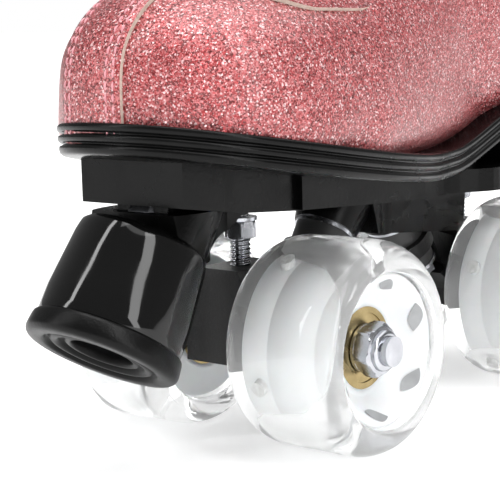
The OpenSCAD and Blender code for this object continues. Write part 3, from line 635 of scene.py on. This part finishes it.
edge_loop = list(range(wide)) + [i * wide + wide - 1 for i in range(1, high)]
edge_loop += [(high - 1) * wide + k for k in range(wide - 2, -1, -1)] + [i * wide for i in range(high - 2, 0,
        -1)]
tongue_faces += [(a, b, b + count, a + count) for a, b in zip(edge_loop, edge_loop[1:] + edge_loop[:1])]
tongue = link_mesh("tongue_pad", tongue_points, tongue_faces, [glitter])
tongue_fix = bmesh.new()
tongue_fix.from_mesh(tongue.data)
bmesh.ops.recalc_face_normals(tongue_fix, faces=tongue_fix.faces[:])
tongue_fix.to_mesh(tongue.data)
tongue_fix.free()
tongue_soft = tongue.modifiers.new("soften", "SUBSURF")
tongue_soft.levels = tongue_soft.render_levels = 1
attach(tongue, "skate")
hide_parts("tongue")

# ---- Eyelets and laces ----
# Nickel eyelets pressed through the facing, and one flat woven lace that
# crosses from side to side over the tongue, with its ends tucked in.
nickel, nickel_tree, nickel_shader = new_finish("nickel_plate", (0.78, 0.78, 0.80), 0.2, Metallic=1.0)
give_life(nickel_tree, nickel_shader, (0.66, 0.66, 0.68), (0.86, 0.86, 0.88), (0.12, 0.3), 1500.0, 0.00003)
EYELET_SHARES = [0.30 + 0.68 * i / 8 for i in range(9)]
eyelet_points, eyelet_faces = [], []
for share in EYELET_SHARES:
    for sign in (1, -1):
        spot, normal = facing_spot(share, 14 * sign)
        spot = spot + normal * 0.0012
        along = normal.cross(Vector((1, 0, 0))).normalized()
        across = along.cross(normal).normalized()
        start = len(eyelet_points)
        profile = [(2.0, -0.9), (2.0, 0.35), (2.35, 0.75), (2.9, 0.8), (3.35, 0.5), (3.5, 0.02)]
        for radius, height in profile:
            for m in range(24):
                a = math.tau * m / 24
                eyelet_points.append(spot + (along * math.cos(a) + across * math.sin(a)) * radius / 1000
                                     + normal * height / 1000)
        for r in range(len(profile) - 1):
            for m in range(24):
                a, b = start + r * 24 + m, start + r * 24 + (m + 1) % 24
                eyelet_faces.append((a, b, b + 24, a + 24))
eyelets = link_mesh("eyelet_rings", eyelet_points, eyelet_faces, [nickel])
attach(eyelets, "skate")
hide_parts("eyelets")

woven, woven_tree, woven_shader = new_finish("woven_lace", (0.9, 0.89, 0.87), 0.8, Sheen_Weight=0.3)
give_life(woven_tree, woven_shader, (0.74, 0.72, 0.70), (0.95, 0.94, 0.92), (0.75, 0.95), 2600.0, 0.0005,
          1500.0)


def weave_lace(path, width=5.2, thick=1.5):
    """A flat lace along (point, normal) pairs, with rounded edges and a woven rib."""
    points, faces = [], []
    for i, (spot, normal) in enumerate(path):
        ahead_spot, behind_spot = path[min(i + 1, len(path) - 1)][0], path[max(i - 1, 0)][0]
        along = (ahead_spot - behind_spot).normalized()
        across = along.cross(normal).normalized()
        up = across.cross(along).normalized()
        for m in range(12):
            a = math.tau * m / 12
            rib = 1 + 0.05 * math.cos(math.pi * i)
            points.append(spot + across * (math.copysign(abs(math.cos(a)) ** 0.7, math.cos(a)) * width / 2000)
                          + up * (math.sin(a) * thick / 2000 * rib))
    for i in range(len(path) - 1):
        faces += [(i * 12 + m, i * 12 + (m + 1) % 12, (i + 1) * 12 + (m + 1) % 12,
                   (i + 1) * 12 + m) for m in range(12)]
    faces += [tuple(range(11, -1, -1)), tuple((len(path) - 1) * 12 + m for m in range(12))]
    return points, faces


LACE_TUCKS = 3
lace_points, lace_faces = [], []


def lace_run(share_a, across_a, share_b, across_b, ride_high):
    """One crossing: out of one eyelet, over the tongue and into the next."""
    path = []
    for i in range(37):
        t = i / 36
        spot, normal = facing_spot(share_a + (share_b - share_a) * t, across_a + (across_b - across_a) * t)
        height = 2.3 + ride_high * math.sin(math.pi * t) ** 2 - 2.6 * (1 - bell(min(t, 1 - t), 0.0, 0.07))
        path.append((spot + normal * height / 1000, normal))
    for _ in range(LACE_TUCKS):
        first, second = path[0], path[1]
        path.insert(0, (first[0] - first[1] * 0.0006 + (first[0] - second[0]) * 0.2, first[1]))
    points, faces = weave_lace(path)
    start = len(lace_points)
    lace_points.extend(points)
    lace_faces.extend(tuple(start + k for k in face) for face in faces)


lace_run(EYELET_SHARES[0], -13.8, EYELET_SHARES[0], 13.8, 0.0)
for low_share, high_share in zip(EYELET_SHARES, EYELET_SHARES[1:]):
    lace_run(low_share, -13.8, high_share, 13.8, 0.3)
    lace_run(low_share, 13.8, high_share, -13.8, 1.9)
lace_run(EYELET_SHARES[-1], -13.8, EYELET_SHARES[-1], 13.8, 2.2)
laces = link_mesh("flat_laces", lace_points, lace_faces, [woven])
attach(laces, "skate")
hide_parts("laces")

# ---- Outsole ----
# Black moulded rubber glued under the boot, with three raised ribs round its
# edge and two grooves between them.
sole_rubber, sole_tree, sole_shader = new_finish("sole_rubber", (0.002, 0.002, 0.002), 0.3,
                                                 Specular_IOR_Level=0.14)
give_life(sole_tree, sole_shader, (0.001, 0.001, 0.001), (0.005, 0.005, 0.005), (0.20, 0.34), 1300.0, 0.00004)
SOLE_LEN, TOE_FRONT = 237.0, 62.0


def sole_half(t):
    if t < 0.29:
        return 43 * (1 - (1 - t / 0.29) ** 2.35) ** (1 / 2.35)
    if t < 0.62:
        return 43 + (28 - 43) * bell(t, 0.29, 0.62)
    if t < 0.86:
        return 28 + 3 * bell(t, 0.62, 0.86)
    return 31 * max(0.0, 1 - ((t - 0.86) / 0.14) ** 2.2) ** (1 / 2.2)


def sole_outline(inset, steps=90):
    """Points round the sole, in millimetres, evenly spread."""
    ring = []
    for hand, order in ((1, range(steps + 1)), (-1, range(steps - 1, 0, -1))):
        for i in order:
            t = (1 - math.cos(math.pi * i / steps)) / 2
            middle = TOE_SWING * (1 - bell(t, 0.05, 0.45))
            ring.append((middle + hand * sole_half(t) * (1 - inset / 43),
                         -TOE_FRONT + inset + t * (SOLE_LEN - 2 * inset)))
    return ring


sole_profile = [(9.0, -0.3), (1.6, -0.1), (0.5, -0.15), (0.1, -0.55), (0.0, -1.2), (0.1, -1.8), (0.75, -2.2),
                (1.25, -2.55), (0.8, -2.9),
                (0.2, -3.2), (0.1, -3.9), (0.25, -4.5), (0.9, -4.85), (1.4, -5.15), (0.95, -5.5), (0.4, -5.8),
                (0.3, -6.6),
                (0.55, -7.5), (1.2, -7.95), (9.0, -8.0)]
sole_points, sole_faces = [], []
for inset, down in sole_profile:
    ring = sole_outline(inset)
    for x, y in ring:
        sole_points.append((x / 1000, y / 1000 + AXLE_Y, (sole_top(y) + down) / 1000))
around = len(ring)
for r in range(len(sole_profile) - 1):
    sole_faces += [(r * around + m, (r + 1) * around + m, (r + 1) * around + (m + 1) % around,
                    r * around + (m + 1) % around)
                   for m in range(around)]
half_way = 90
for r in (0, len(sole_profile) - 1):
    for i in range(half_way):
        a, b = r * around + i, r * around + i + 1
        c, d = r * around + (around - i - 1) % around, r * around + (around - i) % around
        face = [a, b] + ([c] if c % around != b % around else []) + ([d] if d % around != a % around else [])
        if len(set(face)) > 2:
            sole_faces.append(tuple(face))
outsole = link_mesh("outsole_rubber", sole_points, sole_faces, [sole_rubber])
sole_fix = bmesh.new()
sole_fix.from_mesh(outsole.data)
bmesh.ops.recalc_face_normals(sole_fix, faces=sole_fix.faces[:])
sole_fix.to_mesh(outsole.data)
sole_fix.free()
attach(outsole, "skate")
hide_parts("outsole")


def paint_node(node, finish, bevel=0.0, angle=35):
    """Gives a carried-over solid its finish, and softens its edges a little."""
    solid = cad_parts[node]
    solid.data.materials.clear()
    solid.data.materials.append(finish)
    if bevel:
        edge = solid.modifiers.new("edge", "BEVEL")
        edge.width = bevel
        edge.segments = 2
        edge.limit_method = "ANGLE"
        edge.angle_limit = math.radians(angle)
        edge.harden_normals = True
    return solid


# ---- Heel block, footbed ----
# A moulded rubber lift between the sole and the plate, screwed on with them;
# inside the boot, the knit-topped footbed.
paint_node("heel_block", sole_rubber)
paint_node("insole", knit)

# ---- Plate ----
# One black moulding of glass-filled nylon with ribs under it, held under the
# sole by screws. The trucks and the toe stop are bolted to it.
nylon, nylon_tree, nylon_shader = new_finish("moulded_nylon", (0.002, 0.002, 0.002), 0.3,
                                             Specular_IOR_Level=0.12)
give_life(nylon_tree, nylon_shader, (0.001, 0.001, 0.001), (0.004, 0.004, 0.004), (0.22, 0.40), 700.0, 0.00005)
paint_node("plate", nylon, 0.0006)

# ---- Fasteners ----
# Steel screws, bolts, nuts and washers with a bright zinc plate. The nuts are
# pressed hexagons with turned chamfers, and the threads are rolled.
zinc, zinc_tree, zinc_shader = new_finish("zinc_plate", (0.70, 0.71, 0.73), 0.22, Metallic=1.0)
give_life(zinc_tree, zinc_shader, (0.34, 0.35, 0.38), (0.60, 0.61, 0.64), (0.16, 0.36), 1200.0, 0.00003, 240.0)
for node in ("plate_screws", "toe_stop_bolt", "toe_stop_nut"):
    paint_node(node, zinc, 0.0003)
for end in ("front", "rear"):
    for part in ("kingpin", "cushion_washers"):
        paint_node(end + "_" + part, zinc)


def cut_thread(name, radius, pitch, start, finish_at, body, node=None, tip=0.8, ends=(True, True)):
    """A threaded rod between two points: a spiral ridge with chamfered ends."""
    start, finish_at = Vector(start), Vector(finish_at)
    along = (finish_at - start).normalized()
    one = along.orthogonal().normalized()
    two = along.cross(one)
    length = (finish_at - start).length
    rows, around = max(int(length / pitch * 7), 8), 28
    points, faces = [], []
    for i in range(rows + 1):
        far = length * i / rows
        near_end = min(far if ends[0] else 1, (length - far) if ends[1] else 1)
        for m in range(around):
            phase = (far / pitch - m / around) % 1.0
            ridge = 1 - abs(2 * phase - 1)
            r = radius - 0.00055 * (1 - ridge) * (1 if near_end > 0.0002 else 0)
            r = min(r, radius - tip / 1000 + max(near_end, 0) * 0.9)
            a = math.tau * m / around
            points.append(start + along * far + (one * math.cos(a) + two * math.sin(a)) * r)
    for i in range(rows):
        faces += [(i * around + m, i * around + (m + 1) % around, (i + 1) * around + (m + 1) % around,
                   (i + 1) * around + m)
                  for m in range(around)]
    faces += [tuple(range(around - 1, -1, -1)), tuple(rows * around + m for m in range(around))]
    rod = link_mesh(name, points, faces, [zinc])
    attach(rod, body)
    if node:
        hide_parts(node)
    return rod


def turn_nut(name, places, flats, rows, body, node):
    """Hexagon nuts in one piece; each row is (reach, limit radius, round) in mm, without flats where round."""
    points, faces, around = [], [], 96
    for start, axis in places:
        start, axis = Vector(start), Vector(axis).normalized()
        one = axis.orthogonal().normalized()
        two = axis.cross(one)
        base = len(points)
        for reach, limit, circular in rows:
            for m in range(around):
                a = math.tau * m / around
                hexed = flats / 2 / math.cos((a + math.pi / 6) % (math.pi / 3) - math.pi / 6)
                radius = limit if circular else min(hexed, limit)
                points.append(start + axis * reach / 1000
                              + (one * math.cos(a) + two * math.sin(a)) * radius / 1000)
        for r in range(len(rows)):
            n = (r + 1) % len(rows)
            faces += [(base + r * around + m, base + r * around + (m + 1) % around,
                       base + n * around + (m + 1) % around,
                       base + n * around + m) for m in range(around)]
    nut = link_mesh(name, points, faces, [zinc])
    turned = bmesh.new()
    turned.from_mesh(nut.data)
    bmesh.ops.recalc_face_normals(turned, faces=turned.faces[:])
    for edge in turned.edges:
        edge.smooth = edge.calc_face_angle(0) < math.radians(28)
    turned.to_mesh(nut.data)
    turned.free()
    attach(nut, body)
    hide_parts(node)
    return nut


for end, station, sign in (("front", 0.0, -1), ("rear", WHEELBASE, 1)):
    turn_nut(end + "_axle_locknuts", [((hand * 0.040, AXLE_Y + station, WHEEL_R), (hand, 0, 0)) for hand in (1,
            -1)], 13.0,
             [(0.0, 4.05, True), (0.0, 6.6, True), (0.9, 6.6, True), (1.0, 6.5, True), (1.0, 6.6, False),
              (1.25, 7.15, False), (1.7, 7.6, False),
              (5.0, 7.6, False), (5.4, 7.15, False), (5.75, 6.5, False), (5.85, 6.2, True), (6.0, 5.6, True),
              (6.9, 5.45, True), (7.3, 5.1, True),
              (7.5, 4.6, True), (7.5, 4.05, True)], end + "_truck", end + "_axle_nuts")
    turn_nut(end + "_pivot_jam_nut", [((0, AXLE_Y + station + sign * 0.003, 0.056), (0, 0, 1))], 8.6,
             [(0.0, 3.05, True), (0.0, 4.0, False), (0.25, 4.5, False), (0.6, 5.0, False), (4.4, 5.0, False),
              (4.75, 4.5, False), (5.0, 4.1, False),
              (5.0, 4.85, True), (5.9, 4.9, True), (6.0, 4.8, True), (6.0, 3.05, True)], end + "_truck",
              end + "_pivot_locknut")
    king_tilt = math.atan2(21.5, 33.0)
    king_axis = (0, -sign * math.sin(king_tilt), math.cos(king_tilt))
    ring_spot = Vector((0, AXLE_Y + station - sign * 0.030, 0.0455))
    turn_nut(end + "_kingpin_locknut", [(ring_spot - Vector(king_axis) * 0.0137, king_axis)], 13.0,
             [(0.0, 4.05, True), (0.0, 5.6, True), (0.3, 6.2, False), (0.8, 7.6, False), (4.2, 7.6, False),
              (4.7, 7.0, False), (5.0, 6.4, False),
              (5.0, 4.05, True)], "skate", end + "_kingpin_nut")
    pivot_y = AXLE_Y + station + sign * 0.003
    cut_thread(end + "_pivot_thread", 0.003, 0.00125, (0, pivot_y, 0.0385), (0, pivot_y, 0.0631),
               end + "_truck",
               end + "_pivot_bolt", ends=(False, True))
    ball_points, ball_faces = [(0, pivot_y, 0.067 + 0.0035)], []
    for i in range(1, 15):
        a = math.radians(11.5 * i)
        ball_points += [(0.0035 * math.sin(a) * math.cos(math.tau * m / 28),
                         pivot_y + 0.0035 * math.sin(a) * math.sin(math.tau * m / 28),
                         0.067 + 0.0035 * math.cos(a)) for m in range(28)]
    ball_points += [(0.0021 * math.cos(math.tau * m / 28), pivot_y + 0.0021 * math.sin(math.tau * m / 28),
                     0.0629) for m in range(28)]
    ball_faces += [(0, 1 + m, 1 + (m + 1) % 28) for m in range(28)]
    for i in range(14):
        ball_faces += [(1 + i * 28 + m, 1 + (i + 1) * 28 + m, 1 + (i + 1) * 28 + (m + 1) % 28,
                        1 + i * 28 + (m + 1) % 28) for m in range(28)]
    pivot_ball = link_mesh(end + "_pivot_ball", ball_points, ball_faces, [zinc])
    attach(pivot_ball, end + "_truck")
    for hand in (1, -1):
        cut_thread(end + ("_axle_thread_left" if hand > 0 else "_axle_thread_right"), 0.004, 0.00125,
                   (hand * 0.0405, AXLE_Y + station, WHEEL_R), (hand * 0.04945, AXLE_Y + station, WHEEL_R),
                   end + "_truck",
                   ends=(False, True))

# ---- Trucks ----
# Cast alloy hangers in black powder coat, each round a zinc-plated axle, with
# ground steel bearing inners. They turn between black urethane cushions and in
# a pale acetal cup.
powder, powder_tree, powder_shader = new_finish("powder_coat", (0.008, 0.008, 0.008), 0.45,
                                                Specular_IOR_Level=0.2)
give_life(powder_tree, powder_shader, (0.004, 0.004, 0.004), (0.014, 0.014, 0.014), (0.36, 0.52), 1500.0,
          0.00012)
bushing, bushing_tree, bushing_shader = new_finish("urethane_bushing", (0.02, 0.02, 0.02), 0.5)
give_life(bushing_tree, bushing_shader, (0.012, 0.012, 0.012), (0.03, 0.03, 0.03), (0.42, 0.6), 800.0, 0.00005)
acetal, acetal_tree, acetal_shader = new_finish("acetal_cup", (0.8, 0.78, 0.7), 0.4)
give_life(acetal_tree, acetal_shader, (0.72, 0.70, 0.62), (0.86, 0.84, 0.78), (0.32, 0.5))
steel, steel_tree, steel_shader = new_finish("ground_steel", (0.62, 0.62, 0.64), 0.28, Metallic=1.0)
give_life(steel_tree, steel_shader, (0.5, 0.5, 0.52), (0.72, 0.72, 0.74), (0.2, 0.36), 1800.0, 0.00003)
for end in ("front", "rear"):
    paint_node(end + "_hanger", powder, 0.0007)
    paint_node(end + "_upper_cushion", bushing, 0.0005)
    paint_node(end + "_lower_cushion", bushing, 0.0005)
    paint_node(end + "_pivot_cup", acetal)
    paint_node(end + "_bearing_inners", steel)
    paint_node(end + "_magnets", steel)
    paint_node(end + "_axle", zinc, 0.0005)

# ---- Toe stop ----
# A polished hard housing on a bolt, with a matte rubber pad moulded into its
# foot; rings in the pad's face run round the bolt's recess.
polish, polish_tree, polish_shader = new_finish("polished_housing", (0.001, 0.001, 0.001), 0.1,
                                                Specular_IOR_Level=0.4)
give_life(polish_tree, polish_shader, (0.0008, 0.0008, 0.0008), (0.003, 0.003, 0.003), (0.06, 0.14), 300.0,
          0.000002)
pad_rubber, pad_tree, pad_shader = new_finish("pad_rubber", (0.002, 0.002, 0.002), 0.4, Specular_IOR_Level=0.15)
give_life(pad_tree, pad_shader, (0.001, 0.001, 0.001), (0.005, 0.005, 0.005), (0.3, 0.5), 1600.0, 0.00006)


def spin_shape(name, profile, centre, axis, finishes, body, around=128, marks=(), node=None,
               closed=True):
    """A turned piece: a closed profile of (radius, reach) in millimetres spun round an axis."""
    centre, axis = Vector(centre), Vector(axis).normalized()
    one = axis.orthogonal().normalized()
    two = axis.cross(one)
    points = [centre + axis * reach / 1000
              + (one * math.cos(math.tau * m / around) + two * math.sin(math.tau * m / around)) * radius / 1000
              for radius, reach in profile for m in range(around)]
    faces, rings = [], len(profile)
    for r in range(rings if closed else rings - 1):
        n = (r + 1) % rings
        faces += [(r * around + m, r * around + (m + 1) % around, n * around + (m + 1) % around,
                   n * around + m) for m in range(around)]
    piece = link_mesh(name, points, faces, finishes)
    turned = bmesh.new()
    turned.from_mesh(piece.data)
    bmesh.ops.recalc_face_normals(turned, faces=turned.faces[:])
    turned.to_mesh(piece.data)
    turned.free()
    for k, index in enumerate(marks):
        if index:
            for polygon in piece.data.polygons[k * around:(k + 1) * around]:
                polygon.material_index = index
    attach(piece, body)
    if node:
        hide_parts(node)
    return piece


STOP_TILT, STOP_FOOT = math.radians(32.5), (0, AXLE_Y - 0.0585, 0.0318)
stop_axis = (0, math.sin(STOP_TILT), math.cos(STOP_TILT))


def stop_radius(height):
    return 20.5 - 3.0 * height / 33


cone_profile = [(8.0, 6.02), (stop_radius(6) - 0.9, 6.02), (stop_radius(6) - 0.75, 6.3),
                (stop_radius(8) - 0.5, 8.4)]
cone_profile += [(stop_radius(h) - 0.4 * (1 - bell(h, 8, 14)), h) for h in (10, 13, 18, 24, 29)]
cone_profile += [(17.5 - 0.05, 31.2), (17.5 - 0.25, 32.2), (17.5 - 0.8, 32.8), (17.5 - 1.5, 32.99),
                 (4.05, 32.99), (4.05, 14.0), (8.0, 14.0)]
spin_shape("toe_stop_housing", cone_profile, STOP_FOOT, stop_axis, [polish], "skate", 160, node="toe_stop_cone")
pad_profile = [(8.3, 6.0), (8.3, 1.9), (8.6, 1.5), (9.3, 1.3), (10.0, 1.6), (10.3, 2.2), (10.6, 2.5),
               (11.2, 2.5), (11.5, 1.6), (11.9, 0.9),
               (12.5, 0.6), (13.3, 0.65), (13.9, 1.0), (14.2, 1.7), (14.8, 1.9), (15.2, 1.0), (15.5, 0.3),
               (16.1, 0.02), (18.2, 0.0)]
pad_profile += [(18.5 + 2.0 * math.sin(math.radians(a)), 2 - 2.0 * math.cos(math.radians(a))) for a in (18, 36,
        54, 72, 90)]
pad_profile += [(20.45, 3.0), (20.2, 5.0), (stop_radius(6) + 0.05, 5.7), (stop_radius(6) - 0.25, 6.0)]
spin_shape("toe_stop_rubber", pad_profile, STOP_FOOT, stop_axis, [pad_rubber], "skate", 160,
           node="toe_stop_pad")

# ---- Wheels ----
# Clear cast urethane on a frosted white hub drum, with small light diodes
# between the two and a shielded ball bearing in each side. The drum's hollows
# are painted shade: dark petal-shaped sheets laid just over its face.
clear, clear_tree, clear_shader = new_finish("clear_urethane", (0.985, 0.99, 0.99), 0.03,
                                             Transmission_Weight=0.84, IOR=1.28)
clear_life = add_node(clear_tree, "ShaderNodeGroup", node_tree=surface_life)
clear_life.inputs["Grain Scale"].default_value = 120.0
clear_life.inputs["Grain Depth"].default_value = 0.00003
clear_rough = add_node(clear_tree, "ShaderNodeMapRange", {"Value": clear_life.outputs["Smudge"], "To Min": 0.01,
                                                          "To Max": 0.06})
clear_tree.links.new(clear_rough.outputs["Result"], clear_shader.inputs["Roughness"])
clear_tree.links.new(clear_life.outputs["Normal"], clear_shader.inputs["Normal"])
frost, frost_tree, frost_shader = new_finish("frosted_drum", (0.93, 0.94, 0.95), 0.35, Subsurface_Weight=0.1,
                                             Subsurface_Scale=0.003)
give_life(frost_tree, frost_shader, (0.70, 0.72, 0.735), (0.84, 0.855, 0.86), (0.28, 0.5), 500.0, 0.00008, 90.0)
# Painted shade: the dark grey of the drum's hollows, on sheets over its face.
hollow_shade, hollow_shade_tree, hollow_shade_shader = new_finish("drum_hollow_painted_shade", (0.25, 0.26, 0.27), 0.35)
give_life(hollow_shade_tree, hollow_shade_shader, (0.16, 0.165, 0.17), (0.46, 0.47, 0.48), (0.25, 0.45), 400.0, 0.0001,
          160.0)
diode, diode_tree, diode_shader = new_finish("clear_diode", (0.8, 0.82, 0.8), 0.15, Coat_Weight=0.5)
give_life(diode_tree, diode_shader, (0.30, 0.30, 0.27), (0.90, 0.91, 0.92), (0.1, 0.3), 800.0, 0.0002, 900.0)
shield, shield_tree, shield_shader = new_finish("bearing_shield", (0.62, 0.5, 0.27), 0.3, Metallic=1.0)
give_life(shield_tree, shield_shader, (0.22, 0.165, 0.07), (0.46, 0.36, 0.18), (0.2, 0.4), 1200.0, 0.00004,
          300.0)
TREAD_X, CORE_R = 31.0, 20.5
tyre_profile = [(CORE_R + 0.06, -14.2), (CORE_R + 0.9, -17.0), (CORE_R + 1.5, -17.8), (CORE_R + 2.2, -18.0)]
for step in range(84, -1, -3):
    shoulder = math.radians(step)
    groove = 0.16 if step % 6 and step < 72 else 0.0
    tyre_profile.append((23.5 + (5.5 - groove) * math.cos(shoulder), -9 - (9 - groove) * math.sin(shoulder)))
tyre_profile += [(29.0, z) for z in (-6, -2, 2, 6)]
tyre_profile += [(23.5 + 5.5 * math.cos(math.radians(a)), 9 + 9 * math.sin(math.radians(a))) for a in range(0,
        85, 6)]
tyre_profile += [(CORE_R + 1.6, 18.0), (CORE_R + 0.9, 17.85), (CORE_R + 0.4, 17.2), (CORE_R + 0.06, 16.0)]
core_profile = [(12.6, -15.0), (CORE_R - 3, -14.0), (CORE_R - 1.0, -13.98), (CORE_R - 0.3, -13.7),
                (CORE_R, -13.1), (CORE_R, -6.2), (CORE_R - 0.25, -6.0),
                (CORE_R - 0.25, -5.6), (CORE_R, -5.4), (CORE_R, 7.8), (CORE_R - 0.3, 8.1), (CORE_R - 0.3, 8.6),
                (CORE_R, 8.9),
                (CORE_R, 15.2), (CORE_R - 0.3, 15.8), (CORE_R - 1.2, 16.0), (CORE_R - 1.9, 15.6),
                (CORE_R - 3.2, 13.8),
                (CORE_R - 5.6, 10.8), (13.2, 9.25), (12.4, 9.0), (11.05, 9.0), (11.05, 2.0), (9.5, 2.0),
                (9.5, -8.0), (11.05, -8.0), (11.05, -15.0)]
for end, station in (("front", 0.0), ("rear", WHEELBASE)):
    for hand, sign in (("left", 1), ("right", -1)):
        wheel = end + "_" + hand
        middle, out = (sign * TREAD_X / 1000, AXLE_Y + station, WHEEL_R), (sign, 0, 0)
        spin_shape(wheel + "_clear_tyre", tyre_profile, middle, out, [clear], wheel + "_wheel", 160,
                   node=wheel + "_tyre")
        spin_shape(wheel + "_hub_drum", core_profile, middle, out, [frost], wheel + "_wheel", 128,
                   node=wheel + "_core")
        paint_node(wheel + "_bearings", shield)
        paint_node(wheel + "_lights", diode, 0.0004)
        # Painted shade for the drum's hollows: thin dark petal-shaped sheets 0.12 mm over the drum's face,
        # which has no hollows cut in it.
        petal_points, petal_faces = [], []
        for k in range(6):
            centre_turn = math.tau * (k + 0.35) / 6
            start = len(petal_points)
            for i in range(9):
                for j in range(25):
                    s_along, s_across = -1 + 2 * j / 24, -1 + 2 * i / 8
                    half = 1.35 * (1 - abs(s_along) ** 1.8)
                    radius = 17.3 + 0.8 * s_along + s_across * half
                    reach = 9.25 + (radius - 13.2) * (15.6 - 9.25) / (18.6 - 13.2) + 0.12
                    angle = centre_turn + s_along * 0.24
                    petal_points.append((middle[0] + sign * reach / 1000,
                                         middle[1] + radius * math.cos(angle) / 1000,
                                         middle[2] + radius * math.sin(angle) / 1000))
            for i in range(8):
                petal_faces += [(start + i * 25 + j, start + i * 25 + j + 1, start + (i + 1) * 25 + j + 1,
                                 start + (i + 1) * 25 + j) for j in range(24)]
        shade_petals = link_mesh(wheel + "_drum_hollow_shade_sheets", petal_points, petal_faces, [hollow_shade])
        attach(shade_petals, wheel + "_wheel")

low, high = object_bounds()
